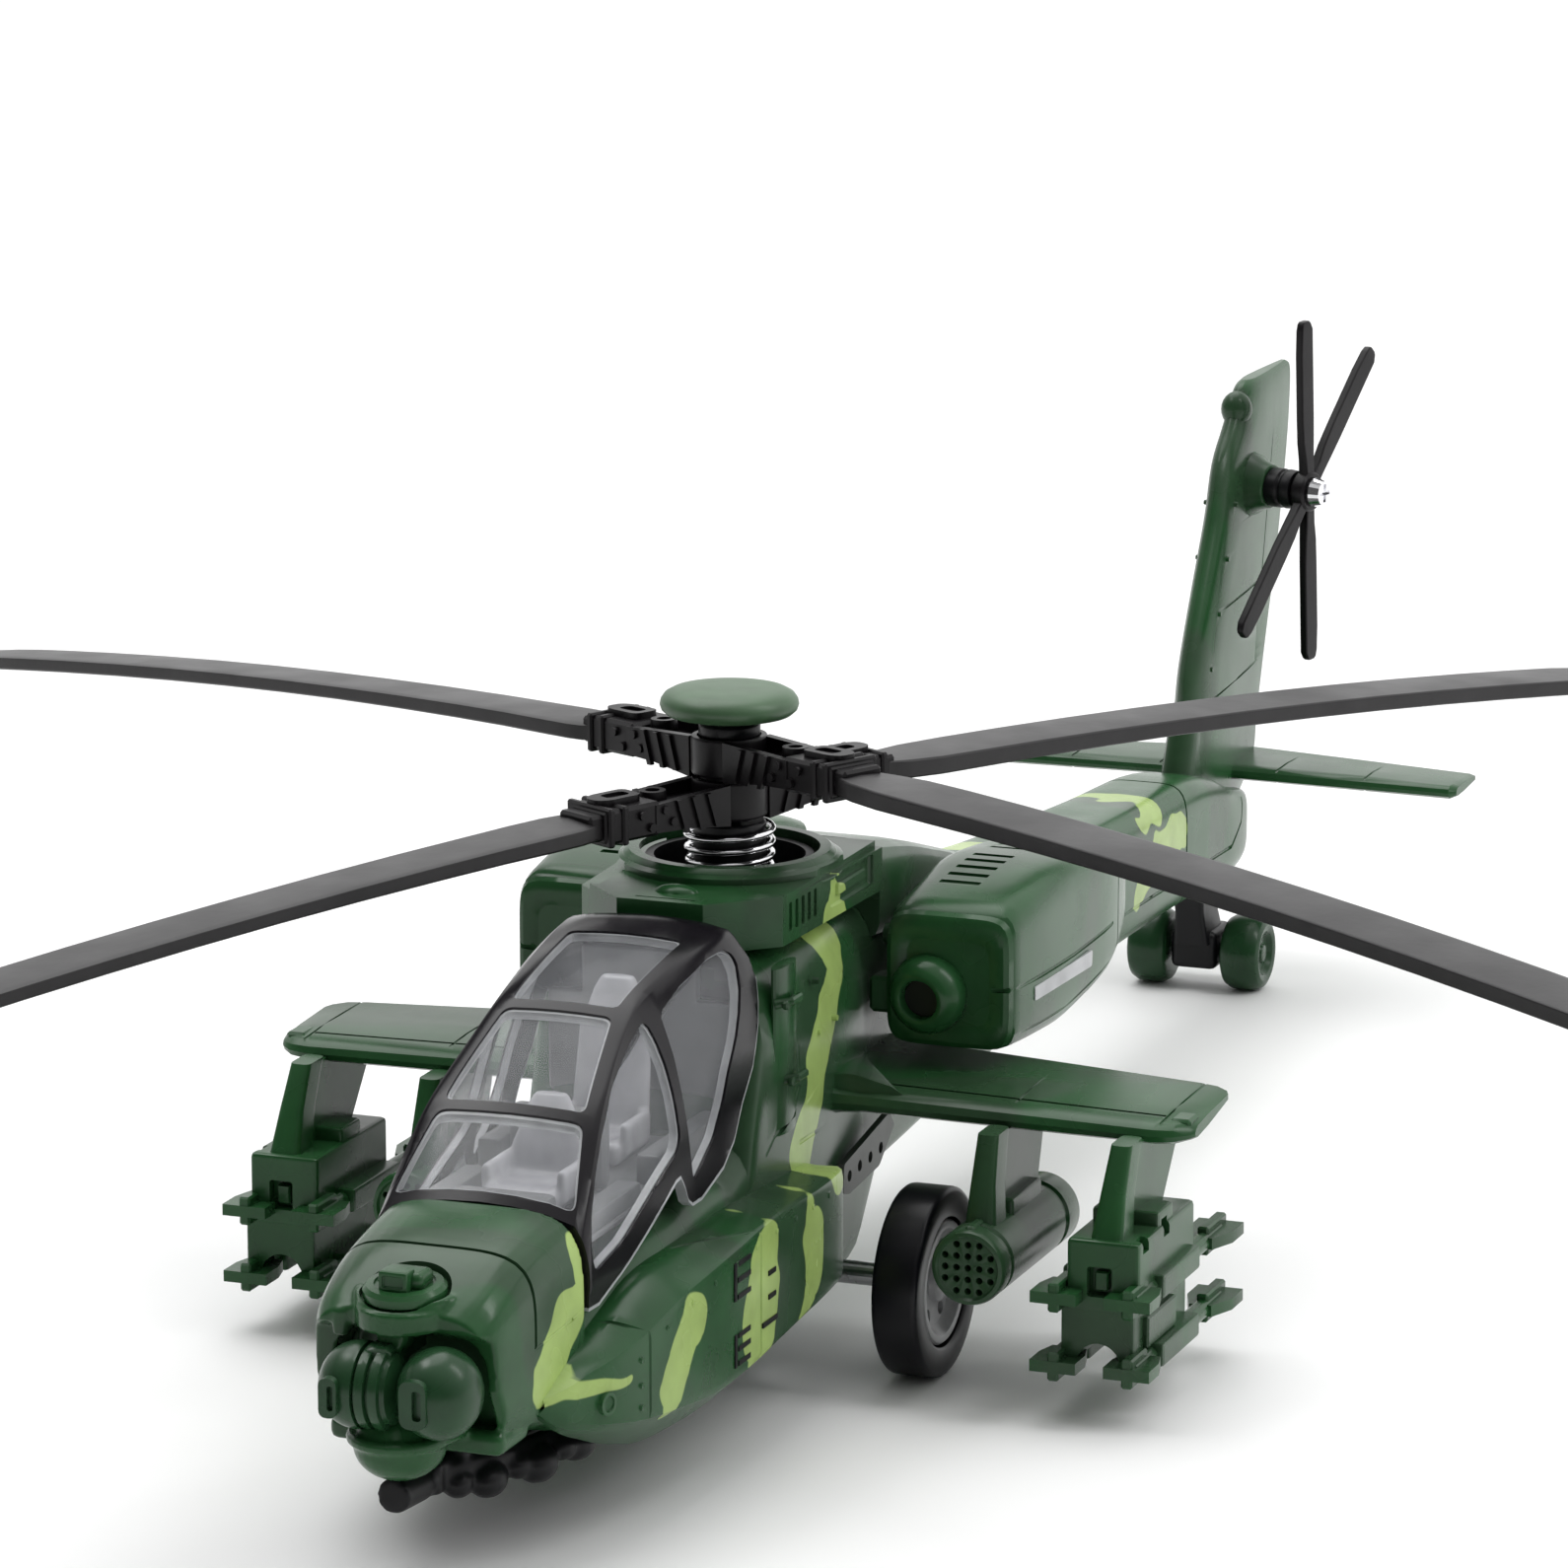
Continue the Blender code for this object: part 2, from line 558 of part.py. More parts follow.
def make_missile_rack(label, side, root):
    """A launcher block on a raked pylon, with four forked rails that hold no missiles."""
    x = side * RACK_X
    rack = add_object(f"missile_rack_{label}", box((x - 3.5, -13.4, 11.2), (x + 3.5, 5.0, 18.8), 0.4),
                      "green_paint", root)
    fuse(rack, plate(((-0.6, 26.0), (10.4, 26.4), (0.5, 18.0), (-11.3, 18.0)), 2.7, "YZ", x + side * 0.3))
    fuse(rack, box((x - 2.9, -12.2, 6.0), (x + 2.9, 4.0, 12.0), 0.3))
    cut(rack, box((x - 1.3, -15.0, 13.2), (x + 1.3, -12.4, 16.6)))
    for rail_x in RAIL_PLACES:
        middle = side * rail_x
        for z in RAIL_HEIGHTS:
            fuse(rack, box((middle - RAIL_HALF, -15.5, z - 1.0), (middle + RAIL_HALF, 15.5, z + 1.0)))
            for slot_y in (-17.0, 14.2):
                cut(rack, box((middle - 0.6, slot_y, z - 1.4), (middle + 0.6, slot_y + 3.0, z + 1.4)))


def make_tail(root):
    fin_outline = ((144.4, 30.2), (158.4, 66.4), (161.6, 70.6), (168.3, 72.4), (188.6, 72.2), (190.2, 70.0),
                   (184.6, 48.5), (177.8, 32.6), (176.6, 26.5), (163.0, 26.5), (159.0, 28.6), (148.4, 30.2))
    fin = add_object("tail_fin", plate(fin_outline, 3.2, "YZ", 0.0), "green_paint", root)
    for y in (152.0, 166.0):
        cut(fin, box((-3, y, 34.0), (-1.35, y + 14.0, 34.4)))

    rings = []
    for x, front, rear in ((-30.3, 162.7, 172.4), (-1.0, 163.6, 177.6), (1.0, 163.6, 177.6), (30.3, 162.7, 172.4)):
        rings.append([(x, front, 24.5), (x, front, 25.8), (x, front + 3.5, 26.2), (x, rear, 25.7), (x, rear, 24.9)])
    add_object("stabilizer", loft(rings), "green_paint", root)

    frame = new_empty("tail_rotor_line", TAIL_ROTOR, root, TAIL_AXIS)
    boss = add_object("tail_rotor_boss", rod((0, 0, -9.0), (0, 0, -5.0), 4.2, 2.9), "green_paint", frame)
    boolean(boss, box((-3, 120, 0), (1.6 + GAP, 220, 90)), "DIFFERENCE", root)
    add_object("tail_rotor_spacer", rod((0, 0, -4.7), (0, 0, -1.2), 2.3), "black_plastic", frame)
    screw = add_object("tail_rotor_screw", rod((0, 0, 1.3), (0, 0, 2.6), 1.8, 1.5), "chrome", frame)
    fuse(screw, rod((0, 0, -0.9), (0, 0, 1.6), 0.8, segments=16))
    cut(screw, box((-0.25, -1.1, 2.1), (0.25, 1.1, 3.0)), box((-1.1, -0.25, 2.1), (1.1, 0.25, 3.0)))

    carrier = add_object("tail_carrier", box((-2.9, 154.6, 2.6), (2.9, 161.8, 7.6), 0.5), "black_plastic", root)
    fuse(carrier, box((-1.8, 153.0, 6.8), (1.8, 158.0, 14.0)))
    cut(carrier, rod((-6, TAIL_WHEEL_Y, TAIL_WHEEL_RADIUS), (6, TAIL_WHEEL_Y, TAIL_WHEEL_RADIUS),
                     AXLE_RADIUS * 0.7 + GAP, segments=16))


# ---------------------------------------------------------------- moving pieces

def blade_ring(radius, chord, z, thick, pitch):
    """A blade section across its length: flat under, crowned on top, with a blunt leading face."""
    section = ((-0.5, -0.5), (-0.5, 0.18), (-0.30, 0.5), (0.15, 0.5), (0.5, 0.0), (0.5, -0.35))
    points = []
    for across, up in section:
        u = across * chord
        w = up * thick
        points.append((radius, u * math.cos(pitch) - w * math.sin(pitch),
                       z + u * math.sin(pitch) + w * math.cos(pitch)))
    return points


def blade_loft(turn):
    """One blade from its cuff to its swept tip, drooping with the square of the radius."""
    stations = [(ARM_END - 3.0, 4.6), (ARM_END + 2.0, 5.0), (ARM_END + 9.0, BLADE_CHORD)]
    stations += [(radius, BLADE_CHORD) for radius in range(45, int(ROTOR_RADIUS) - 5, 16)]
    stations += [(ROTOR_RADIUS - 4.0, BLADE_CHORD), (ROTOR_RADIUS, BLADE_CHORD * 0.72)]
    rings = []
    for radius, chord in stations:
        pitch = math.radians(7.0) * (1 - radius / ROTOR_RADIUS)
        rings.append(blade_ring(radius, chord, -BLADE_DROOP * radius ** 2, BLADE_THICK, pitch))
    bm = loft(rings)
    bm.transform(Matrix.Rotation(turn, 4, "Z"))
    return bm


def make_blade_bar(name, turn, height, tilt, parent):
    """Two opposite blades and their boxy ribbed cuffs, moulded as one bar."""
    frame = new_empty(f"{name}_frame", (0, 0, height), parent)
    frame.rotation_euler = (0, 0, turn)
    level = new_empty(f"{name}_level", (0, 0, 0), frame)
    level.rotation_euler = (0, tilt, 0)
    bar = add_object(name, rod((0, 0, -1.7), (0, 0, 1.9), 6.0, segments=32), "blade_plastic", level)
    for flip in (0.0, math.pi):
        arm = box((4.0, -3.1, -1.7), (ARM_END - 1.0, 3.1, 1.9), 0.3)
        boss = box((12.0, -2.4, 1.5), (ARM_END + 1.0, 2.4, 2.5), 0.3)
        for bm in (arm, boss):
            bm.transform(Matrix.Rotation(flip, 4, "Z"))
        fuse(bar, arm, boss, blade_loft(flip))
    cut(bar, rod((0, 0, -4), (0, 0, 4), 3.4, segments=32))


def make_rotor(root):
    slide = new_empty("rotor_press_frame", (0, 0, 0), root)
    turned("mast", ((0.0, 63.4), (1.2, 63.4), (1.2, HUB_UNDER - 0.3), (3.7, HUB_UNDER - 0.3), (3.7, 50.2),
                    (MAST_RADIUS, 50.2), (MAST_RADIUS, 36.0), (0.0, 36.0)), "black_plastic", slide, steps=24)
    coil = []
    turns = (HUB_UNDER - CUP_FLOOR - 2 * (SPRING_WIRE + GAP)) / SPRING_PITCH
    per_turn = 14
    for step in range(int(turns * per_turn) + 1):
        angle = 2 * math.pi * step / per_turn
        coil.append((SPRING_RADIUS * math.cos(angle), SPRING_RADIUS * math.sin(angle),
                     CUP_FLOOR + GAP + SPRING_WIRE + SPRING_PITCH * step / per_turn))
    wire("mast_spring", coil, SPRING_WIRE, "chrome", root)

    spin = new_empty("rotor_spin_frame", (0, 0, 0), slide)
    turned("rotor_hub", ((0.0, 65.3), (3.1, 65.3), (3.1, HUB_UNDER), (1.5, HUB_UNDER), (1.5, 63.8), (0.0, 63.8)),
           "black_plastic", spin, steps=28)
    turned("top_disc", ((0.0, 68.8), (5.2, 68.7), (6.5, 68.3), (7.07, 67.3), (6.6, 66.4), (5.4, 65.9), (4.2, 65.6),
                        (0.0, 65.6)), "green_paint", spin, steps=32)
    blade_zero = ROTOR_TURN - math.pi / 2
    make_blade_bar("blade_bar_lower", blade_zero + math.pi, LOWER_BAR_Z, -LOWER_BAR_TILT, spin)
    make_blade_bar("blade_bar_upper", blade_zero + math.pi / 2, UPPER_BAR_Z, -UPPER_BAR_TILT, spin)


def wire(name, points, radius, look, parent):
    """A bent round wire along a row of points in millimetres."""
    curve = bpy.data.curves.new(name, "CURVE")
    curve.dimensions = "3D"
    curve.bevel_depth = radius * MM
    curve.bevel_resolution = 1
    curve.use_fill_caps = True
    spline = curve.splines.new("POLY")
    spline.points.add(len(points) - 1)
    for point, place in zip(spline.points, points):
        point.co = (*(Vector(place) * MM), 1.0)
    curve.materials.append(LOOKS[look])
    item = bpy.data.objects.new(name, curve)
    item.parent = parent
    PARTS.objects.link(item)


def make_tail_rotor(root):
    frame = new_empty("tail_rotor_frame", TAIL_ROTOR, root, TAIL_AXIS)
    rotor = add_object("tail_rotor", rod((0, 0, -0.9), (0, 0, 1.0), 2.4), "blade_plastic", frame)
    up = frame.rotation_quaternion.inverted() @ Vector((0, 0, 1))
    aft = frame.rotation_quaternion.inverted() @ Vector((-math.sin(TAIL_ROTOR_CANT), math.cos(TAIL_ROTOR_CANT), 0))
    for pair in (math.radians(-3.0), math.radians(-3.0) + TAIL_ROTOR_SCISSOR):
        for flip in (1, -1):
            along = (up * math.cos(pair) + aft * math.sin(pair)) * flip
            across = Vector((0, 0, 1)).cross(along)
            outline = []
            for reach, half in ((0.0, 0.8), (4.0, 1.0), (8.0, 1.3), (TAIL_ROTOR_RADIUS - 3.0, 1.35)):
                outline.append(along * reach - across * half)
            outline.append(along * (TAIL_ROTOR_RADIUS - 0.4) - across * 0.3)
            outline.append(along * TAIL_ROTOR_RADIUS + across * 0.2)
            for reach, half in ((TAIL_ROTOR_RADIUS - 1.0, 1.0), (8.0, 1.3), (4.0, 1.0), (0.0, 0.8)):
                outline.append(along * reach + across * half)
            fuse(rotor, plate([(point.x, point.y) for point in outline], 1.1, "XY", 0.05))
    cut(rotor, rod((0, 0, -3), (0, 0, 3), 0.8 + GAP, segments=16))


def make_main_wheels(root):
    spin = new_empty("main_axle_frame", (0, WHEEL_Y, WHEEL_RADIUS), root)
    inner_x = WHEEL_OUTER_X - WHEEL_WIDTH
    add_object("main_axle", rod((-inner_x - 1.5, 0, 0), (inner_x + 1.5, 0, 0), AXLE_RADIUS), "steel", spin)
    half = WHEEL_WIDTH / 2
    for label, side in SIDES:
        middle = (side * (WHEEL_OUTER_X - half), 0, 0)
        axis = (side, 0, 0)
        outer = half - 0.5
        turned(f"hub_{label}", ((0.0, outer), (2.0, outer), (2.4, outer - 0.9), (4.6, outer - 0.9), (5.2, outer + 0.1),
                                (RIM_RADIUS, outer + 0.1), (RIM_RADIUS, -half + 0.2), (AXLE_RADIUS + GAP, -half + 0.2),
                                (AXLE_RADIUS + GAP, 0.0), (0.0, 0.0)), "grey_plastic", spin, middle, axis, 24)
        inner = RIM_RADIUS + GAP
        turned(f"tyre_{label}", ((inner, half - 0.2), (inner + 0.7, half), (8.6, half), (9.4, half - 0.5),
                                 (WHEEL_RADIUS, half - 1.2), (WHEEL_RADIUS, -half + 1.2), (9.4, -half + 0.5),
                                 (8.6, -half), (inner, -half)), "tyre_rubber", spin, middle, axis, 36, True)


def make_tail_wheels(root):
    spin = new_empty("tail_axle_frame", (0, TAIL_WHEEL_Y, TAIL_WHEEL_RADIUS), root)
    radius = AXLE_RADIUS * 0.7
    reach = TAIL_WHEEL_X + 0.4
    add_object("tail_axle", rod((-reach, 0, 0), (reach, 0, 0), radius, segments=16), "steel", spin)
    half = TAIL_WHEEL_WIDTH / 2
    bore = radius + GAP
    for label, side in SIDES:
        turned(f"tail_wheel_{label}", ((0.0, half - 0.2), (2.2, half - 0.2), (3.6, half), (4.3, half - 0.6),
                                       (TAIL_WHEEL_RADIUS, half - 1.4), (TAIL_WHEEL_RADIUS, -half + 1.4),
                                       (4.3, -half + 0.6), (3.6, -half), (bore, -half), (bore, 0.8), (0.0, 0.8)),
               "green_paint", spin, (side * TAIL_WHEEL_X, 0, 0), (side, 0, 0), 20)


# ---------------------------------------------------------------- inside the body


def tube_places():
    """Centres of the 19 rocket tubes: one, a ring of six and a ring of twelve."""
    places = [(0.0, 0.0)]
    for count, radius in ((6, 1.3), (12, 2.55)):
        for step in range(count):
            angle = 2 * math.pi * step / count
            places.append((radius * math.cos(angle), radius * math.sin(angle)))
    return places


TUBE_PLACES = tube_places()


def make_inside(root):
    """The press switch, its board and speaker, the cells behind their door, and the body screws."""
    add_object("circuit_board", box((-9.0, -34.0, 20.0), (9.0, -8.0, 21.2)), "board_green", root)
    turned("speaker", ((0.0, 14.8), (5.0, 14.8), (8.0, 13.8), (8.0, 12.4), (0.0, 12.4)), "black_plastic", root,
           (0, -43.5, 0), steps=28)
    for number, y in enumerate((-32.0, -26.0, -20.0), start=1):
        add_object(f"button_cell_{number}", rod((-2.7, y, 9.9), (2.7, y, 9.9), 2.9, segments=20), "steel", root)
    door = add_object("battery_door", box(*DOOR_BOX), "green_paint", root)
    cut(door, rod((0, -18.2, 3), (0, -18.2, 5.7), 1.2, segments=16))
    for (label, _), (x, y) in zip(SIDES, SCREW_PLACES):
        screw = add_object(f"body_screw_{label}", rod((x, y, 5.3), (x, y, 6.2), SCREW_HEAD, segments=16),
                           "steel", root)
        fuse(screw, rod((x, y, 6.0), (x, y, 11.5), 0.9, segments=12))

    switch = add_object("switch_body", box((-3.0, -3.0, 22.4), (3.0, 3.0, 30.0)), "black_plastic", root)
    cut(switch, rod((0, 0, 26.0), (0, 0, 34.0), 1.5 + GAP, segments=20))
    press = new_empty("switch_press_frame", (0, 0, 0), root)
    add_object("switch_plunger", rod((0, 0, 29.0), (0, 0, 35.7), 1.5, segments=20), "grey_plastic", press)


def main():
    root = new_empty("helicopter_frame", (0, MAST_Y, 0))
    make_shells(root)
    make_nose(root)
    make_chain_gun(root)
    make_canopy(root)
    make_deck(root)
    for label, side in SIDES:
        make_sponson(f"sponson_{label}", side, root)
        make_nacelle(label, side, root)
        make_wing(label, side, root)
        make_rocket_pod(label, side, root)
        make_missile_rack(label, side, root)
    make_tail(root)
    make_rotor(root)
    make_tail_rotor(root)
    make_main_wheels(root)
    make_tail_wheels(root)
    make_inside(root)


LOOKS = {name: make_material(name, *values) for name, values in PALETTE.items()}
main()
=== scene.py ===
"""Looks for the toy attack helicopter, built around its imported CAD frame.

Shapes are written in millimetres with y measured from the rotor mast, as in the CAD, and are turned into
metres in the row frame when a piece is finished. The nose points along -Y and the port side is +X.
"""

import math

import bmesh
import bpy
from mathutils import Matrix, Vector


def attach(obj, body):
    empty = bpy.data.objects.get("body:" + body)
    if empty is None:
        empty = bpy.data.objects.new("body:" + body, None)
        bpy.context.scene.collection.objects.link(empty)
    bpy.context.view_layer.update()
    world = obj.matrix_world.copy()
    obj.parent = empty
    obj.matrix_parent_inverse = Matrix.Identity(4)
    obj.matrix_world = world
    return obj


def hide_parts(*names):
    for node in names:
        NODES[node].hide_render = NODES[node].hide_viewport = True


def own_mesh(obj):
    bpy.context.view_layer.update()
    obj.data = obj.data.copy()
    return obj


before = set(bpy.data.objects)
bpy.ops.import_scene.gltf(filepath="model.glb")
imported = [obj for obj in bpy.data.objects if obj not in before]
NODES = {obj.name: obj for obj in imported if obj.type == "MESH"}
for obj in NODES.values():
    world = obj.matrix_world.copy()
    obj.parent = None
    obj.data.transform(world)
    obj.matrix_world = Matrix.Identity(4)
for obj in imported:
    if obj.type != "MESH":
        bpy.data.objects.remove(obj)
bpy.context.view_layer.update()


MM = 0.001
MAST = Vector((0, -37.13, 0))
TAU = 2 * math.pi
SIDES = (("port", 1), ("starboard", -1))
MAIN_AXLE = (-3.3, 9.76)
TAIL_AXLE = (158.1, 4.6)
BUMP_DEPTH = 0.00005
CAST_VOXEL = 0.24
HOOP_DEPTH = 0.32
HOOP_HALF = 0.24


# ------------------------------------------------------------------ materials

class Tree:
    """A small builder of shader nodes."""

    def __init__(self, tree):
        self.tree = tree

    def node(self, kind, **settings):
        node = self.tree.nodes.new(kind)
        for key, value in settings.items():
            setattr(node, key, value)
        return node

    def feed(self, slots, *values):
        """Links the values that are sockets and writes the others into their slots."""
        for slot, value in zip(slots, values):
            if isinstance(value, bpy.types.NodeSocket):
                self.tree.links.new(value, slot)
            elif value is not None:
                slot.default_value = value

    def fill(self, node, **values):
        """The same for inputs given by name."""
        self.feed([node.inputs[name.replace("_", " ")] for name in values], *values.values())

    def vector(self, operation, first, second=None, scale=None):
        node = self.node("ShaderNodeVectorMath", operation=operation)
        self.feed(node.inputs, first, second)
        if scale is not None:
            self.fill(node, Scale=scale)
        return node.outputs["Value" if operation in ("DOT_PRODUCT", "LENGTH") else "Vector"]

    def math(self, operation, first, second=None, third=None, clamp=False):
        node = self.node("ShaderNodeMath", operation=operation, use_clamp=clamp)
        self.feed(node.inputs, first, second, third)
        return node.outputs["Value"]

    def ramp(self, factor, low, high, out_low=0, out_high=1):
        node = self.node("ShaderNodeMapRange")
        self.fill(node, Value=factor, From_Min=low, From_Max=high, To_Min=out_low, To_Max=out_high)
        return node.outputs["Result"]

    def blend(self, factor, first, second, mode="MIX"):
        node = self.node("ShaderNodeMix", data_type="RGBA", blend_type=mode)
        colors = [(*value, 1) if isinstance(value, tuple) else value for value in (first, second)]
        self.feed((node.inputs[0], node.inputs[6], node.inputs[7]), factor, *colors)
        return node.outputs[2]


class Shader(Tree):
    """A material around one Principled BSDF."""

    def __init__(self, name, color, roughness, **sockets):
        self.material = bpy.data.materials.new(name)
        self.material.use_nodes = True
        super().__init__(self.material.node_tree)
        self.bsdf = self.tree.nodes["Principled BSDF"]
        self.fill(self.bsdf, Base_Color=(*color, 1), Roughness=roughness, **sockets)
        self.coords = self.node("ShaderNodeTexCoord").outputs["Object"]

    def noise(self, scale, detail=2, stretch=(1, 1, 1)):
        node = self.node("ShaderNodeTexNoise")
        self.fill(node, Scale=scale, Detail=detail, Vector=self.vector("MULTIPLY", self.coords, stretch))
        return node.outputs

    def color(self, base, tone):
        """The base colour, made a little darker and lighter by the tone."""
        grey = self.node("ShaderNodeCombineColor")
        self.feed(grey.inputs, tone, tone, tone)
        self.fill(self.bsdf, Base_Color=self.blend(1, base, grey.outputs["Color"], "MULTIPLY"))

    def finish(self, rough_scale, rough_low, rough_high, bump_scale, bump_strength):
        """Uneven gloss and a fine moulded or sprayed surface."""
        gloss = self.ramp(self.noise(rough_scale, 3)["Fac"], 0.3, 0.7, rough_low, rough_high)
        bump = self.node("ShaderNodeBump")
        self.fill(bump, Strength=bump_strength, Distance=BUMP_DEPTH, Height=self.noise(bump_scale)["Fac"])
        self.fill(self.bsdf, Roughness=gloss, Normal=bump.outputs["Normal"])
        return self.material


DARK_GREEN = (0.018, 0.076, 0.024)
DULL_GREEN = (0.027, 0.066, 0.030)
LIME = (0.34, 0.47, 0.14)

# Camouflage strokes on the body sides and top: y and z of both ends from the mast, and half widths there.
STROKES = (
    (-65.8, 28.2, -66.1, 25.4, 2, 1.4), (-66.1, 25.4, -68.8, 23.8, 1.5, 2.7),
    (-68.8, 23.8, -71, 20.6, 2.7, 3.1), (-71, 20.6, -74, 18.2, 3.1, 2.1),
    (-73.6, 17.3, -70, 16.8, 1.3, 0.9), (-70, 16.9, -64.2, 15.9, 0.9, 0.5),
    (-51.6, 19.6, -52.1, 19, 2.4, 2.9), (-52, 19.2, -53, 18.2, 3.1, 2.6), (-53, 18.2, -54.8, 15.8, 2.6, 2.4),
    (-54.8, 15.8, -57.2, 12.6, 2.4, 1.7), (-57.2, 12.6, -57.7, 11.6, 1.7, 1.1),
    (-33.6, 21.9, -34.8, 20, 1.5, 3), (-34.8, 20, -35.4, 17.4, 3.4, 4.1), (-35.4, 17.4, -36.2, 14.2, 4.1, 4.4),
    (-36.2, 14.2, -36.6, 11.6, 4.2, 2.6),
    (-22.2, 22, -22.4, 20.6, 1.2, 1.2), (-22.2, 21, -21.4, 18.4, 1.3, 3.3), (-21.4, 18.4, -21.4, 16, 3.3, 3.5),
    (-21.4, 16, -22.8, 13.6, 3.3, 2.1), (-22.8, 13.6, -25, 11.2, 2, 0.4),
    (0.6, 50.6, 0.7, 48.4, 0.4, 1.5), (0.7, 48.4, 0.4, 46.4, 1.5, 1.9),
    (-0.7, 46, 0.3, 44.6, 1.9, 3.3), (0.3, 44.6, 1.6, 42.4, 3.4, 3.3), (1.6, 42.4, 0.9, 40.2, 3.1, 2.2),
    (0.9, 40.2, -1.6, 38.4, 2.1, 2.1), (-1.6, 38.4, -4, 36.2, 2.2, 3), (-4, 36.2, -5.4, 34.6, 3, 3),
    (-5.4, 34.6, -7.6, 32, 2.9, 3.2), (-7.6, 32, -8.3, 29.4, 3.1, 2.9), (-8.3, 29.4, -9.2, 27.4, 2.8, 2.8),
    (-9.2, 27.4, -12.3, 24.2, 2.9, 3.2),
    (76, 39, 82, 30, 2.4, 4), (82, 30, 79, 21, 3.2, 1.2),
    (116, 29.6, 123.5, 29.9, 0.7, 1.5), (132, 25.4, 122, 25, 2.4, 3.1), (122, 25, 113.5, 21.4, 2.9, 1.6),
    (100, 17, 94, 21, 1, 2.2),
)
STROKE_EDGE = 0.00008
STROKE_WOBBLE = 0.0032


def painted(name, strokes):
    """Glossy camouflage paint: dark green, dull green clouds and hard-edged lime strokes."""
    shader = Shader(name, DARK_GREEN, 0.2, Specular_IOR_Level=0.27)
    vector, sums = shader.vector, shader.math
    clouds = shader.noise(58, 1.2, (0.5, 1, 0.5))["Fac"]
    base = shader.blend(shader.ramp(clouds, 0.57, 0.60), DARK_GREEN, DULL_GREEN)
    if strokes:
        wobble = vector("SUBTRACT", shader.noise(170, 1)["Color"], (0.5, 0.5, 0.5))
        shift = vector("SCALE", wobble, scale=STROKE_WOBBLE)
        point = vector("MULTIPLY", vector("ADD", shader.coords, shift), (0, 1, 1))
        nearest = None
        for y_from, z_from, y_to, z_to, wide_from, wide_to in strokes:
            start = Vector((0, (y_from + MAST.y) * MM, z_from * MM))
            run = Vector((0, (y_to - y_from) * MM, (z_to - z_from) * MM))
            offset = vector("SUBTRACT", point, start)
            along = sums("MULTIPLY", vector("DOT_PRODUCT", offset, run), 1 / run.length_squared, clamp=True)
            gap = vector("LENGTH", vector("SUBTRACT", offset, vector("SCALE", run, scale=along)))
            width = sums("MULTIPLY_ADD", along, (wide_to - wide_from) * MM, wide_from * MM)
            gap = sums("SUBTRACT", gap, width)
            nearest = gap if nearest is None else sums("MINIMUM", nearest, gap)
        base = shader.blend(shader.ramp(nearest, STROKE_EDGE, -STROKE_EDGE), base, LIME)
    shader.color(base, shader.ramp(shader.noise(240, 4)["Fac"], 0.3, 0.7, 0.86, 1.10))
    return shader.finish(90, 0.20, 0.30, 700, 0.12)


def plain(name, color, rough, spread, bump, specular=0.5, bump_scale=900, contrast=0.15, **sockets):
    """A moulded, plated or turned surface of one colour with slight variation."""
    shader = Shader(name, color, rough, Specular_IOR_Level=specular, **sockets)
    shader.color(color, shader.ramp(shader.noise(260, 3)["Fac"], 0.3, 0.7, 1 - contrast, 1 + contrast))
    return shader.finish(120, rough - spread, rough + spread, bump_scale, bump)


# Each look: its slot, then colour, roughness, spread of roughness, bump, and where they aren't the usual ones
# specular level, scale of the bump and contrast, and further sockets.
MOULDED = {
    "disc_green": ("green_paint", (0.050, 0.110, 0.050), 0.40, 0.05, 0.08, 0.5),
    "tail_green": ("green_paint", (0.014, 0.050, 0.019), 0.27, 0.05, 0.10, 0.3),
    "black": ("black_plastic", (0.006, 0.006, 0.007), 0.36, 0.07, 0.25, 0.22),
    "frame_black": ("black_plastic", (0.006, 0.005, 0.007), 0.20, 0.05, 0.10, 0.25),
    "blade": ("blade_plastic", (0.019, 0.018, 0.019), 0.38, 0.05, 0.30, 0.30),
    "cuff": ("blade_plastic", (0.006, 0.005, 0.006), 0.36, 0.07, 0.30, 0.22),
    "tyre": ("tyre_rubber", (0.0055, 0.0055, 0.0075), 0.32, 0.06, 0.15, 0.22),
    "rim": ("grey_plastic", (0.34, 0.34, 0.35), 0.32, 0.05, 0.15),
    "seat": ("grey_plastic", (0.52, 0.52, 0.55), 0.22, 0.05, 0.20),
    "chrome": ("chrome", (0.86, 0.86, 0.88), 0.09, 0.03, 0.04, 0.5, 900, 0.03, {"Metallic": 1}),
    "steel": ("steel", (0.56, 0.56, 0.58), 0.28, 0.08, 0.20, 0.5, 900, 0.08, {"Metallic": 1}),
    "board": ("board_green", (0.010, 0.12, 0.045), 0.40, 0.08, 0.20),
    "grey": ("grey_plastic", (0.16, 0.165, 0.17), 0.40, 0.08, 0.20),
    "lining": ("green_paint", (0.085, 0.095, 0.085), 0.45, 0.06, 0.20),
    "clear": ("clear_plastic", (0.72, 0.74, 0.78), 0.07, 0.03, 0.60, 1, 45, 0.10,
              {"Alpha": 0.09, "IOR": 1.55}),
    # Painted highlight: the pale, half-opaque look of the strips that stand for the glints on the clear
    # moulding's edges.
    "painted_edge_highlight": ("clear_plastic", (0.66, 0.68, 0.70), 0.12, 0.04, 0.20, 0.5, 900, 0.15, {"Alpha": 0.55}),
    "pale_label": ("grey_plastic", (0.42, 0.43, 0.44), 0.38, 0.05, 0.10),
}
LOOKS = {"camouflage": (painted("camouflage", STROKES), "green_paint"),
         "green": (painted("green", ()), "green_paint")}
for LOOK, (SLOT, *VALUES) in MOULDED.items():
    SOCKETS = VALUES.pop() if isinstance(VALUES[-1], dict) else {}
    LOOKS[LOOK] = (plain(LOOK, *VALUES, **SOCKETS), SLOT)


# ------------------------------------------------------------------ mesh tools

def put(name, data):
    item = bpy.data.objects.new(name, data)
    bpy.context.scene.collection.objects.link(item)
    return item


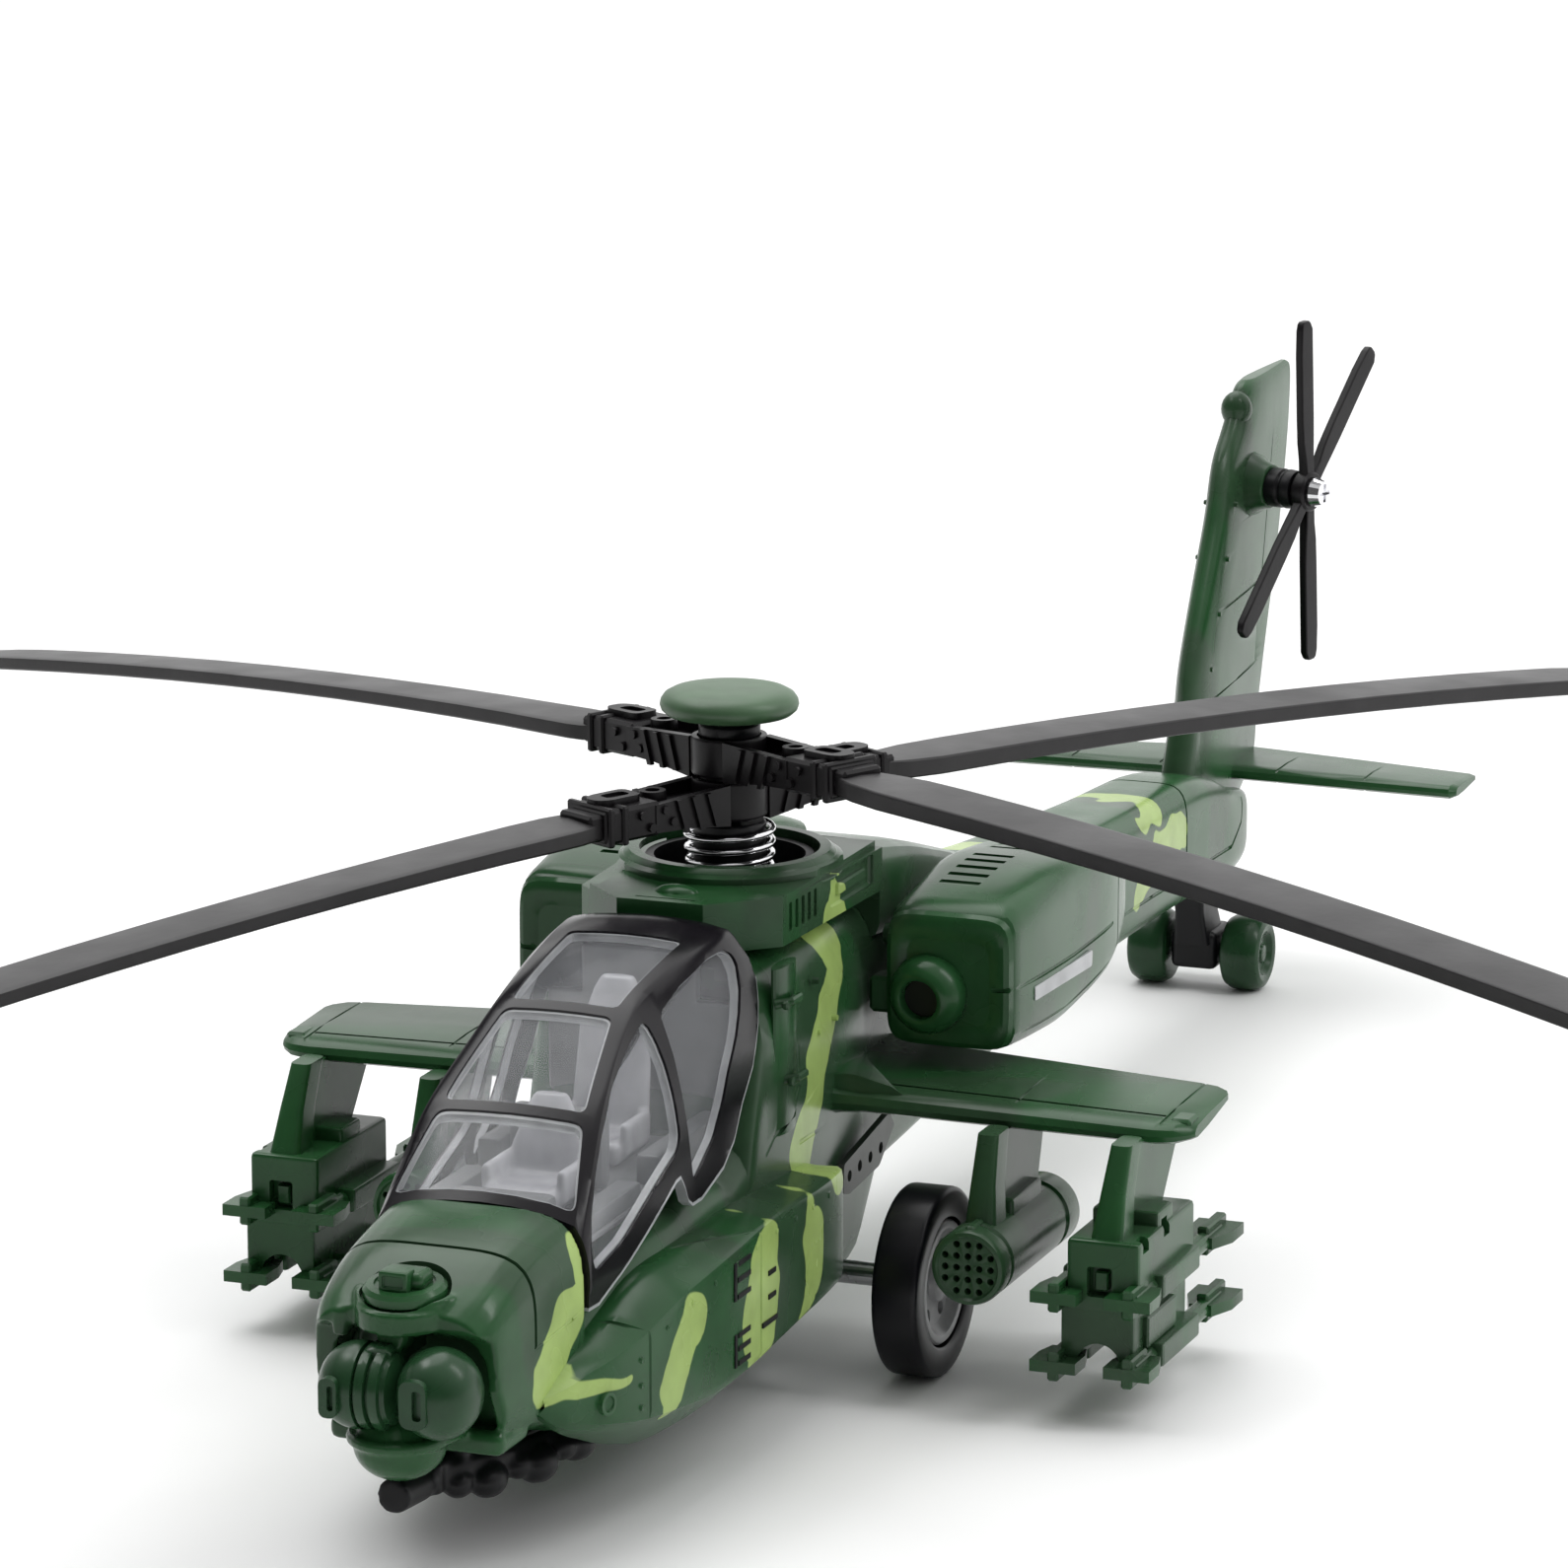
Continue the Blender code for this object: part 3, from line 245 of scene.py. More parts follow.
def link_mesh(name, bm):
    bm.normal_update()
    bmesh.ops.recalc_face_normals(bm, faces=bm.faces)
    mesh = bpy.data.meshes.new(name)
    bm.to_mesh(mesh)
    bm.free()
    return put(name, mesh)


def lifted(item):
    """The shape of an object as a bmesh, with the object removed."""
    bm = bmesh.new()
    bm.from_mesh(item.data)
    bpy.data.objects.remove(item)
    return bm


def apply_modifiers(item):
    depsgraph = bpy.context.evaluated_depsgraph_get()
    made = bpy.data.meshes.new_from_object(item.evaluated_get(depsgraph), depsgraph=depsgraph)
    old = item.data
    item.modifiers.clear()
    item.data = made
    bpy.data.meshes.remove(old)


def modify(item, kind, **settings):
    modifier = item.modifiers.new(kind.lower(), kind)
    for key, value in settings.items():
        setattr(modifier, key, value)


def boolean(item, bm, operation):
    tool = link_mesh("tool", bm)
    modify(item, "BOOLEAN", operation=operation, solver="EXACT", use_self=False, object=tool)
    apply_modifiers(item)
    mesh = tool.data
    bpy.data.objects.remove(tool)
    bpy.data.meshes.remove(mesh)


def cut(item, *shapes):
    for bm in shapes:
        boolean(item, bm, "DIFFERENCE")


def fuse(item, *shapes):
    for bm in shapes:
        boolean(item, bm, "UNION")


def merge(*shapes):
    """One bmesh holding several shapes that don't touch each other."""
    whole = bmesh.new()
    for bm in shapes:
        mesh = bpy.data.meshes.new("part")
        bm.to_mesh(mesh)
        bm.free()
        whole.from_mesh(mesh)
        bpy.data.meshes.remove(mesh)
    return whole


def melt(item, voxel, rounds):
    """Runs overlapping shapes together into one casting with soft inside corners."""
    modify(item, "REMESH", mode="VOXEL", voxel_size=voxel)
    modify(item, "SMOOTH", factor=0.5, iterations=rounds)
    apply_modifiers(item)


def finish(item, look, body="airframe", covers=(), bevel=0, segments=2, angle=35, weighted=True):
    """Rounds the edges, sets the finish, moves the piece into the row frame and joins it to its body.

    A piece named after a CAD node with _visible added stands for that node.
    """
    if bevel:
        modify(item, "BEVEL", width=bevel, segments=segments, limit_method="ANGLE",
               angle_limit=math.radians(angle), use_clamp_overlap=True, harden_normals=False)
        apply_modifiers(item)
    item.data.transform(Matrix.Scale(MM, 4) @ Matrix.Translation(MAST))
    item.data.shade_smooth()
    item.data.set_sharp_from_angle(angle=math.radians(angle))
    if weighted:
        modify(item, "WEIGHTED_NORMAL", keep_sharp=True, weight=60)
        apply_modifiers(item)
    material, slot = LOOKS[look]
    item.data.materials.clear()
    item.data.materials.append(material)
    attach(item, body)
    node = item.name.removesuffix("_visible")
    if node != item.name:
        covers = (node,)
    if covers:
        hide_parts(*covers)


def box(low, high, bevel=0, segments=2):
    bm = bmesh.new()
    bmesh.ops.create_cube(bm, size=1.0)
    for vert in bm.verts:
        for axis in range(3):
            vert.co[axis] = low[axis] if vert.co[axis] < 0 else high[axis]
    if bevel:
        bmesh.ops.bevel(bm, geom=list(bm.edges), offset=bevel, segments=segments, profile=0.5, affect="EDGES")
    return bm


def block(x, half, y_span, z_span, bevel=0, segments=2):
    """A box given by its middle and half width across the body, and its ends along y and z."""
    return box((x - half, y_span[0], z_span[0]), (x + half, y_span[1], z_span[1]), bevel, segments)


def rod(start, end, radius, end_radius=None, segments=32):
    start, end = Vector(start), Vector(end)
    bm = bmesh.new()
    bmesh.ops.create_cone(bm, cap_ends=True, segments=segments, radius1=radius,
                          radius2=radius if end_radius is None else end_radius, depth=(end - start).length)
    turn = (end - start).to_track_quat("Z", "Y").to_matrix().to_4x4()
    bm.transform(Matrix.Translation((start + end) / 2) @ turn)
    return bm


def ball(centre, radii, segments=28):
    bm = bmesh.new()
    bmesh.ops.create_uvsphere(bm, u_segments=segments, v_segments=segments // 2, radius=1.0)
    bm.transform(Matrix.Translation(centre) @ Matrix.Diagonal((*radii, 1.0)))
    return bm


def bridge(bm, row, after):
    """A closed strip of faces between two rings."""
    for index in range(len(row)):
        other = (index + 1) % len(row)
        bm.faces.new((row[index], row[other], after[other], after[index]))


def loft(rings):
    bm = bmesh.new()
    rows = [[bm.verts.new(point) for point in ring] for ring in rings]
    for row, after in zip(rows, rows[1:]):
        bridge(bm, row, after)
    bm.faces.new(list(reversed(rows[0])))
    bm.faces.new(rows[-1])
    return bm


def oval(y, middle, half, low, high, power, count):
    """A rounded rectangle across the body; a higher power gives tighter corners."""
    points = []
    centre, reach = (low + high) / 2, (high - low) / 2
    for step in range(count):
        angle = TAU * (step + 0.5) / count
        c, s = math.cos(angle), math.sin(angle)
        grow = (abs(c) ** power + abs(s) ** power) ** (-1 / power)
        points.append((middle + half * grow * c, y, centre + reach * grow * s))
    return points


def eased(table, steps):
    """More stations along a table, on a smooth curve through its rows."""
    rows = []
    last = len(table) - 1
    for index in range(last):
        before, start = table[max(index - 1, 0)], table[index]
        end, after = table[index + 1], table[min(index + 2, last)]
        for step in range(steps):
            t = step / steps
            rows.append(tuple(0.5 * (2 * p1 + (p2 - p0) * t + (2 * p0 - 5 * p1 + 4 * p2 - p3) * t * t
                                     + (3 * p1 - p0 - 3 * p2 + p3) * t ** 3)
                              for p0, p1, p2, p3 in zip(before, start, end, after)))
    rows.append(table[-1])
    return rows


def plate(outline, thickness, plane, offset):
    """A flat outline given thickness: YZ plates face X, XY plates face Z, XZ plates face Y."""
    bm = bmesh.new()
    layers = []
    for shift in (-thickness / 2, thickness / 2):
        layer = []
        for first, second in outline:
            place = {"YZ": (offset + shift, first, second), "XY": (first, second, offset + shift),
                     "XZ": (first, offset + shift, second)}[plane]
            layer.append(bm.verts.new(place))
        layers.append(layer)
    bm.faces.new(layers[0])
    bm.faces.new(list(reversed(layers[1])))
    for index in range(len(outline)):
        other = (index + 1) % len(outline)
        bm.faces.new((layers[0][index], layers[1][index], layers[1][other], layers[0][other]))
    return bm


def rounded(outline, radius, steps=4):
    """An outline with its corners rounded."""
    points = []
    for index, corner in enumerate(outline):
        corner = Vector(corner)
        before, after = Vector(outline[index - 1]), Vector(outline[(index + 1) % len(outline)])
        reach = min(radius, (before - corner).length * 0.45, (after - corner).length * 0.45)
        start = corner + (before - corner).normalized() * reach
        end = corner + (after - corner).normalized() * reach
        for step in range(steps + 1):
            t = step / steps
            point = start * (1 - t) ** 2 + corner * 2 * t * (1 - t) + end * t * t
            points.append((point.x, point.y))
    return points


def panel(left, right, low, high, radius, steps=4):
    """A rectangle with rounded corners."""
    return rounded(((left, low), (right, low), (right, high), (left, high)), radius, steps)


def post(rows, radius):
    """An upright with rounded corners: each row is its height, half width, front and back."""
    return loft([[(x, y, z) for x, y in panel(-half, half, front, back, radius)]
                 for z, half, front, back in rows])


def turned(profile, place=(0, 0, 0), axis=(0, 0, 1), steps=48):
    """A closed ring or capped body of revolution: profile is (radius, height) along the axis."""
    bm = bmesh.new()
    turn = Vector(axis).to_track_quat("Z", "Y").to_matrix()
    rows = []
    for radius, height in profile:
        if radius < 1e-6:
            rows.append([bm.verts.new(turn @ Vector((0, 0, height)) + Vector(place))])
            continue
        ring = [(radius * math.cos(TAU * step / steps), radius * math.sin(TAU * step / steps), height)
                for step in range(steps)]
        rows.append([bm.verts.new(turn @ Vector(point) + Vector(place)) for point in ring])
    pairs = list(zip(rows, rows[1:]))
    if profile[0][0] > 1e-6 or profile[-1][0] > 1e-6:
        pairs.append((rows[-1], rows[0]))
    for row, after in pairs:
        for step in range(steps):
            other = (step + 1) % steps
            if len(row) == 1 and len(after) == 1:
                continue
            if len(row) == 1:
                bm.faces.new((row[0], after[step], after[other]))
            elif len(after) == 1:
                bm.faces.new((row[step], after[0], row[other]))
            else:
                bm.faces.new((row[step], after[step], after[other], row[other]))
    return bm


def seam(item, side, width, *points):
    """Cuts a panel line through points given for the port side, with a slim rod for each run."""
    points = [(side * x, y, z) for x, y, z in points]
    for start, end in zip(points, points[1:]):
        cut(item, rod(start, end, width / 2, segments=8))


def rivets(item, side, radius, places):
    """Low round heads standing on the side of a piece, at places given for the port side."""
    heads, out = [], Vector((side, 0, 0))
    for x, y, z in places:
        place = Vector((side * x, y, z))
        heads.append(rod(place - out * 0.5, place + out * 0.22, radius, radius * 0.7, 12))
    fuse(item, merge(*heads))


def hoop(y, half, low, high, middle=0):
    """A thin hoop that cuts a panel line round a body with that half width, underside and top."""
    outer = oval(y, 0, half + 1, low - 1, high + 1, 4.6, 48)
    inner = oval(y, 0, half - HOOP_DEPTH, low + HOOP_DEPTH, high - HOOP_DEPTH, 4.6, 48)
    bm = bmesh.new()
    loops = []
    for ring, shift in ((outer, -HOOP_HALF), (outer, HOOP_HALF), (inner, HOOP_HALF), (inner, -HOOP_HALF)):
        loops.append([bm.verts.new((x, py + shift, z)) for x, py, z in ring])
    for row, after in zip(loops, loops[1:] + loops[:1]):
        bridge(bm, row, after)
    bm.transform(Matrix.Translation((middle, 0, 0)))
    return bm


def keep_cad(look, *nodes):
    """CAD nodes whose shape is right: they only get their finish."""
    for node in nodes:
        materials = NODES[node].data.materials
        materials.clear()
        materials.append(LOOKS[look][0])


# ------------------------------------------------------------------ fuselage

# Stations: y, half width, underside, top.
HULL = (
    (-65.4, 10.4, 10.4, 22.6), (-58, 11.2, 9.6, 24.2), (-52, 11.7, 8.6, 25.4), (-46, 12, 6.9, 26.5),
    (-41, 12.1, 5.8, 27.3), (-35, 12.2, 5.2, 27.6), (-29.6, 12.3, 5, 27.6),
)
STEP = ((-25.8, 12.3, 5, 29.4),)
MID = ((-22, 12.3, 5, 45.4), (-8, 12.3, 5, 45.4), (4, 11.6, 5, 45.4), (10, 11.1, 5.1, 45.3))
AFT = (
    (16.5, 10.9, 13.6, 44.6), (30, 10.2, 14, 42.9), (46, 9.2, 14.6, 40.6), (62, 8.4, 15.4, 37),
    (80, 7.5, 16, 34.4), (100, 6.7, 16.2, 32.7), (120, 6.1, 15.8, 31.2), (138, 5.6, 15.1, 30.2),
    (148, 5.2, 14.5, 28.4), (156, 4.9, 14.3, 25.6), (162, 4.3, 15, 24), (165.6, 3.2, 16.8, 23.2),
)
SPINE = ((13.6, 11.2, 40, 50.8), (24, 10.9, 39, 48.6), (36, 10.2, 38, 45.2), (46.2, 9.4, 36, 42.2))
# Panel lines on the port side: width, then the points they run through.
BODY_LINES = (
   
    (0.6, (12.45, -12.9, 47), (12.45, -12.6, 31.5), (12.45, -14.2, 29.2), (12.45, -19.5, 28),
     (12.45, -21.9, 26.6)),
    (0.5, (12.45, -1.8, 34.6), (12.45, -6.4, 33.2)), (0.5, (12.45, -5.8, 30.6), (12.45, -10.6, 29.2)),
    (0.4, (12.45, -9.2, 42.3), (12.45, -9.4, 39.4), (12.45, -4.6, 39.8)),
    (0.6, (12.45, -12.6, 25.6), (12.45, 10, 25.2)),
    (0.5, (10.9, 12, 25.2), (8.4, 60, 22.6), (6.1, 120, 20.2), (5, 154, 18.6)),
    (0.5, (5, 154, 18.6), (4.6, 158.6, 20.6), (4.4, 160, 24)),
)


def make_fuselage():
    """Body, spine and tail boom in one skin, with the panel lines, rivets, grab handles and axle recesses."""
    rows = [*eased(HULL, 3), *STEP, *eased(MID, 3), *eased(AFT, 4)]
    body = link_mesh("fuselage", loft([oval(y, 0, half, low, high, 4.8, 72) for y, half, low, high in rows]))
    fuse(body, loft([oval(y, 0, half, low, high, 8, 48) for y, half, low, high in eased(SPINE, 3)]))
    # The rounded corner post behind the canopy stands a little proud of the flat side.
    for side in (1, -1):
        fuse(body, loft([[(side * 12 + 0.75 * math.cos(TAU * i / 20), -16.2 + 2.9 * math.sin(TAU * i / 20), z)
                          for i in range(20)] for z in (27.8, 44.9)]))
    for side in (1, -1):
        for line in BODY_LINES:
            seam(body, side, *line)
    cut(body, hoop(62, 8.4, 15.4, 37), hoop(134, 5.75, 15.2, 30.5))
    axle_y, axle_z = MAIN_AXLE
    for side in (1, -1):
        rivets(body, side, 0.42, ((12.2, -7.2, 41), (12.2, -6.7, 35.6), (12.2, -1.9, 35.9)))
        for z, y in ((41.4, -18.6), (33.2, -17)):
            fuse(body, rod((side * 12.2, y - 0.4, z), (side * 13.9, y + 0.2, z + 0.35), 0.55, 0.4, 12),
                 block(side * 13.4, 0.35, (y - 1, y + 3.4), (z - 0.35, z + 0.5), 0.2, 1))
        cut(body, ball((side * 11.9, -0.6, 7.6), (1.5, 2.3, 3), 24),
            rod((side * 10, axle_y, axle_z), (side * 14, axle_y, axle_z), 1.7, segments=24))
    finish(body, "camouflage", covers=("lower_shell", "upper_shell"), angle=28)


# ------------------------------------------------------------------ nose

TURRET = Vector((0, -86.4, 20.2))
COWL_SEAM = (-75.7, 10.1, 12.8, 30.9)
NOSE = (
    (-65.6, 10.9, 10.6, 32.3), (-70, 10.5, 11.6, 31.9), COWL_SEAM, (-79.5, 9.7, 13.6, 29.7),
    (-82.4, 9.2, 14.6, 28.4), (-84.6, 8.3, 16.4, 27),
)
CHEEK_CUT = ((-84.6, 25.4), (-83, 24.4), (-82.4, 19.5), (-80, 15), (-78.6, 8), (-96, 8), (-96, 25.4))


def make_nose():
    nose = link_mesh("nose_shell", loft([oval(y, 0, half, low, high, 4.4, 64)
                                         for y, half, low, high in eased(NOSE, 4)]))
    fuse(nose, rod((0, -81.6, 24.6), (0, -81.8, 28.5), 5.3, 4.9, 40),
         rod((0, -83, 24.2), (0, -83, 27.4), 4.4, 4.5))
    # Cheeks: the front leans back below the shelf, and an arched cavity opens behind the turret.
    cut(nose, plate(CHEEK_CUT, 40, "YZ", 0), plate(panel(-7.3, 8, 13, 24.6, 3.6, 6), 14, "XZ", -84.8))
    fuse(nose, post(((22.9, 0.5, -86.2, -82.5), (24.6, 1.5, -86.2, -82.5), (26.6, 1.9, -86.2, -82.5)), 0.5),
         box((-6.6, -84.8, 24), (-5, -82.6, 26.8), 0.3, 1))
    # Chin: a lip on a bowl, carried by a plate that runs back under the turret.
    fuse(nose, loft([[(x, y, z) for x, y in chin_outline(grow)] for z, grow in
                     ((15.6, 1), (15.3, 1.08), (14.7, 1.08), (14.2, 0.9))]),
         ball((0, -84.2, 14.3), (4.4, 4.6, 3.5)), block(0, 8.8, (-81, -74), (12.6, 15), 0.8))
    melt(nose, CAST_VOXEL, 4)
    # The seat of the sensor, the cowl seam above the side line, and the side seam to the canopy.
    cut(nose, rod((0, -82.55, 27.75), (0, -83, 33), 4.3, segments=48))
    arch = link_mesh("arch", hoop(*COWL_SEAM))
    cut(arch, block(0, 20, (COWL_SEAM[0] - 2, COWL_SEAM[0] + 2), (-5, 21.9)))
    cut(nose, lifted(arch))
    for side in (1, -1):
        seam(nose, side, 0.45, (10.2, -76, 21.9), (10.75, -68, 22.7), (11.2, -65, 23.4))
    finish(nose, "camouflage", covers=("nose_cowl",), angle=40, weighted=False)


def chin_outline(grow):
    points = []
    for step in range(28):
        angle = TAU * step / 28
        x, y = 4.7 * math.cos(angle), 5 * math.sin(angle)
        if y > 0:
            x *= 1 + 0.08 * y
            y *= 1.3
        points.append((x * grow, -84 + y * grow))
    return points


def lobe(centre, half, radius, x_from, x_to, steps):
    """The profile of one sensor ball between two places along its axis."""
    profile = []
    for step in range(steps + 1):
        x = x_from + (x_to - x_from) * step / steps
        inside = max(0.0, 1 - ((x - centre) / half) ** 2)
        profile.append((radius * inside ** 0.46, x))
    return profile


def make_turret():
    """Two sensor balls with framed windows on a ribbed drum."""
    profile = lobe(-2.9, 3.9, 4.15, -6.8, -2.3, 14)
    for x in (-2.1, -0.7):
        profile += [(3.5, x - 0.15), (3.5, x), (4, x + 0.12), (4.05, x + 0.55), (4, x + 1.0), (3.5, x + 1.1)]
    profile += [(3.4, 0.6), (3.4, 0.85), *lobe(5, 3.95, 4.35, 1.35, 8.95, 20)]
    turret = link_mesh("turret", turned(profile, TURRET, (1, 0, 0), 56))
    for x, z, wide, tall, slot in ((4.2, 20.2, 1.35, 2.3, 0.45), (-4.3, 20, 0.9, 1.9, 0.3)):
        middle, reach = x + wide * 0.3, tall * 0.62
        fuse(turret, plate(panel(x - wide, x + wide, z - tall, z + tall, 1.1), 3.2, "XZ", TURRET.y - 3))
        cut(turret, plate(panel(middle - slot, middle + slot, z - reach, z + reach, 0.35), 1.4, "XZ",
                          TURRET.y - 4.7))
    fuse(turret, box((-2, TURRET.y - 1.5, 22), (0.6, TURRET.y + 7.5, 24.4), 0.4, 1))
    finish(turret, "tail_green", covers=("nose_turret",), bevel=0.14, angle=38)


def make_sensor():
    """The round sensor turntable on the nose shelf, with its rectangular head."""
    profile = ((0, 0), (3.7, 0), (3.95, 0.25), (3.95, 1), (3.6, 1.4), (2.9, 1.5), (2.8, 1.3), (0, 1.3))
    sensor = link_mesh("sensor", turned(profile, (0, -82.6, 27.9), (0, -0.10, 0.995), 56))
    fuse(sensor, block(0, 2.3, (-84.2, -80.9), (28.8, 30.6), 0.7, 3),
         box((-1.6, -85.3, 28.9), (1.3, -83.2, 30.9), 0.25))
    cut(sensor, box((-1.2, -86, 29.3), (0.9, -85, 30.5), 0.15, 1))
    finish(sensor, "green", covers=("night_sensor",), bevel=0.1)


def make_gun():
    """The chain gun: barrel, thick muzzle, and feed housings that spread under the body, like one casting."""
    gun = link_mesh("gun", rod((-0.3, -82, 8.4), (0, -66, 8.2), 1, segments=20))
    fuse(gun, rod((-0.5, -85, 9.2), (-0.2, -79.6, 8.8), 1.7, 1.6, 24),
         rod((-0.2, -80.2, 8.8), (-0.2, -74.6, 8.8), 1.5, 1.9, 20),
         block(0, 1.5, (-78.6, -72), (7.4, 10.6), 0.4), block(0, 2.6, (-75, -56), (7.6, 11.4), 0.4),
         block(0, 4, (-66, -53), (6.6, 9.8), 0.4))
    for side in (1, -1):
        for x, y, z, radius in ((1.8, -75, 7.8, 1.5), (3.6, -72.2, 7.5, 1.8), (5.2, -68.6, 8, 1.4),
                                (6.2, -66.4, 7.6, 1.9), (7.2, -62.6, 8.3, 1.4), (7.6, -60.2, 8, 1.8)):
            fuse(gun, ball((side * x, y, z), (radius * 1.05, radius * 1.35, radius), 20))
        fuse(gun, loft([[(side * a + math.cos(TAU * i / 16) * 0.9, b, 9.2 + math.sin(TAU * i / 16))
                         for i in range(16)] for a, b in ((0.8, -77), (4.4, -70), (7, -60))]))
    fuse(gun, ball((0, -57, 7.2), (5, 1.9, 1.7), 24), ball((0, -53.6, 7.2), (5, 1.9, 1.7), 24))
    melt(gun, CAST_VOXEL, 9)
    finish(gun, "black", covers=("chain_gun",), angle=60, weighted=False)


# ------------------------------------------------------------------ canopy

# Stations: y, side x at the sill, corner x and z, crown z, and how far the side bows out to a full arch.
CANOPY = (
    (-65.2, 11.1, 10.4, 29.8, 32.3, 0), (-60.2, 11.4, 9.6, 35.5, 36.6, 0), (-55.7, 11.7, 8.8, 39.6, 40.4, 0),
    (-49, 12.1, 7.7, 43.6, 44.3, 0), (-43.2, 12.35, 7.2, 46.3, 47, 0.1), (-36, 12.45, 7.6, 47.8, 48.6, 0.45),
    (-29.4, 12.45, 8.3, 48.5, 49.6, 0.85), (-24, 12.4, 8.9, 48.7, 50.1, 1), (-21.6, 12.35, 8.9, 48.7, 50.1, 1),
)
SILL = (
    (-66, 23), (-63, 23), (-58.1, 24.7), (-52, 27.2), (-44.6, 30.2), (-43.6, 30.3), (-42.9, 29), (-42.5, 27.7),
    (-41.6, 27.1), (-39.3, 27.1), (-33.6, 28.7), (-30.7, 30.7), (-28.4, 33.9), (-25.3, 36.9), (-23.2, 40.6),
    (-22, 43.6), (-21, 47),
)
FRONT_WINDOW = (
    (-42.9, 45.2), (-46.4, 43.9), (-52.9, 40.9), (-57.4, 37.6), (-60.3, 34.7), (-62.9, 31.2), (-64.3, 28.2),
    (-64, 26.2), (-57.9, 27.4), (-49.8, 30.4), (-43.4, 32.6), (-42.3, 33.8), (-41.9, 37.2), (-41.9, 40.3),
    (-42.3, 43.5),
)
REAR_WINDOW = (
    (-40.4, 43.8), (-40.2, 45.3), (-35.5, 46.8), (-28.5, 48.1), (-25.2, 48.2), (-24.2, 47.5), (-25, 46),
    (-25.8, 44.5), (-27.3, 42.2), (-28.7, 40.2), (-31, 37.5), (-32.7, 34.9), (-35.5, 31.9), (-38.6, 30.2),
    (-41, 29), (-40.9, 31.7), (-40.6, 34.7), (-40.5, 37.9), (-40.3, 41.5),
)
TOP_WINDOWS = (
    ((-9.4, -64.3), (9.4, -64.3), (7.5, -57.5), (-7.5, -57.5)),
    ((-7.3, -56.6), (7.3, -56.6), (5.6, -45.4), (-5.6, -45.4)),
    ((-5.5, -44.1), (5.5, -44.1), (6, -28), (-6, -28)),
)
# Every opening, top ones first: outline, depth of its cutter, plane and place of the cutter.
OPENINGS = [(outline, 40, "XY", 52) for outline in TOP_WINDOWS]
for SIDE in (1, -1):
    OPENINGS += [(FRONT_WINDOW, 8.6, "YZ", SIDE * 11.6), (REAR_WINDOW, 8.1, "YZ", SIDE * 12)]
SILL_Z = 24
SKIRT_Z = 20


def shrunk(outline, by):
    """The outline pulled in towards its middle by about the same distance on all sides."""
    sizes = [max(axis) - min(axis) for axis in zip(*outline)]
    middle = [(max(axis) + min(axis)) / 2 for axis in zip(*outline)]
    return [tuple(c + (v - c) * (1 - 2 * by / size) for v, c, size in zip(point, middle, sizes))
            for point in outline]


def canopy_skin(inset, drop=0, ends=0):
    """The outer skin of the canopy moved inwards, with its ends pulled in, closed below the skirt by drop."""
    rings = []
    rows = eased(CANOPY, 5)
    for index, (y, side_x, corner_x, corner_z, crown, arch) in enumerate(rows):
        side_x, crown = side_x - inset, crown - inset
        corner_x, corner_z = corner_x - inset * 0.85, corner_z - inset * 0.8
        half = [(side_x, SKIRT_Z - drop), (side_x, SILL_Z)]
        for step in range(1, 12):
            t = step / 12
            z = SILL_Z + (corner_z - SILL_Z) * t
            slant = side_x + (corner_x - side_x) * t ** 1.5 + 1.26 * t * (1 - t)
            arched = side_x * (1 - ((z - SILL_Z) / (crown - SILL_Z)) ** 4.4) ** (1 / 4.4)
            half.append((slant + (arched - slant) * min(max(arch, 0), 1), z))
        half += [(corner_x - 0.05, corner_z), (corner_x - 0.7, corner_z + (crown - corner_z) * 0.42)]
        for t in (0.66, 0.33, 0):
            half.append((corner_x * t, crown - (crown - corner_z) * 0.55 * t * t))
        y += ends if index == 0 else -ends if index == len(rows) - 1 else 0
        rings.append([(x, y, z) for x, z in half] + [(-x, y, z) for x, z in reversed(half[:-1])])
    return loft(rings)


def sill_block(lift):
    """Everything above the sill line, as one extruded block."""
    outline = [(y, z + lift) for y, z in SILL] + [(-15, 60), (-75, 60), (-75, 23 + lift)]
    return plate(outline, 40, "YZ", 0)


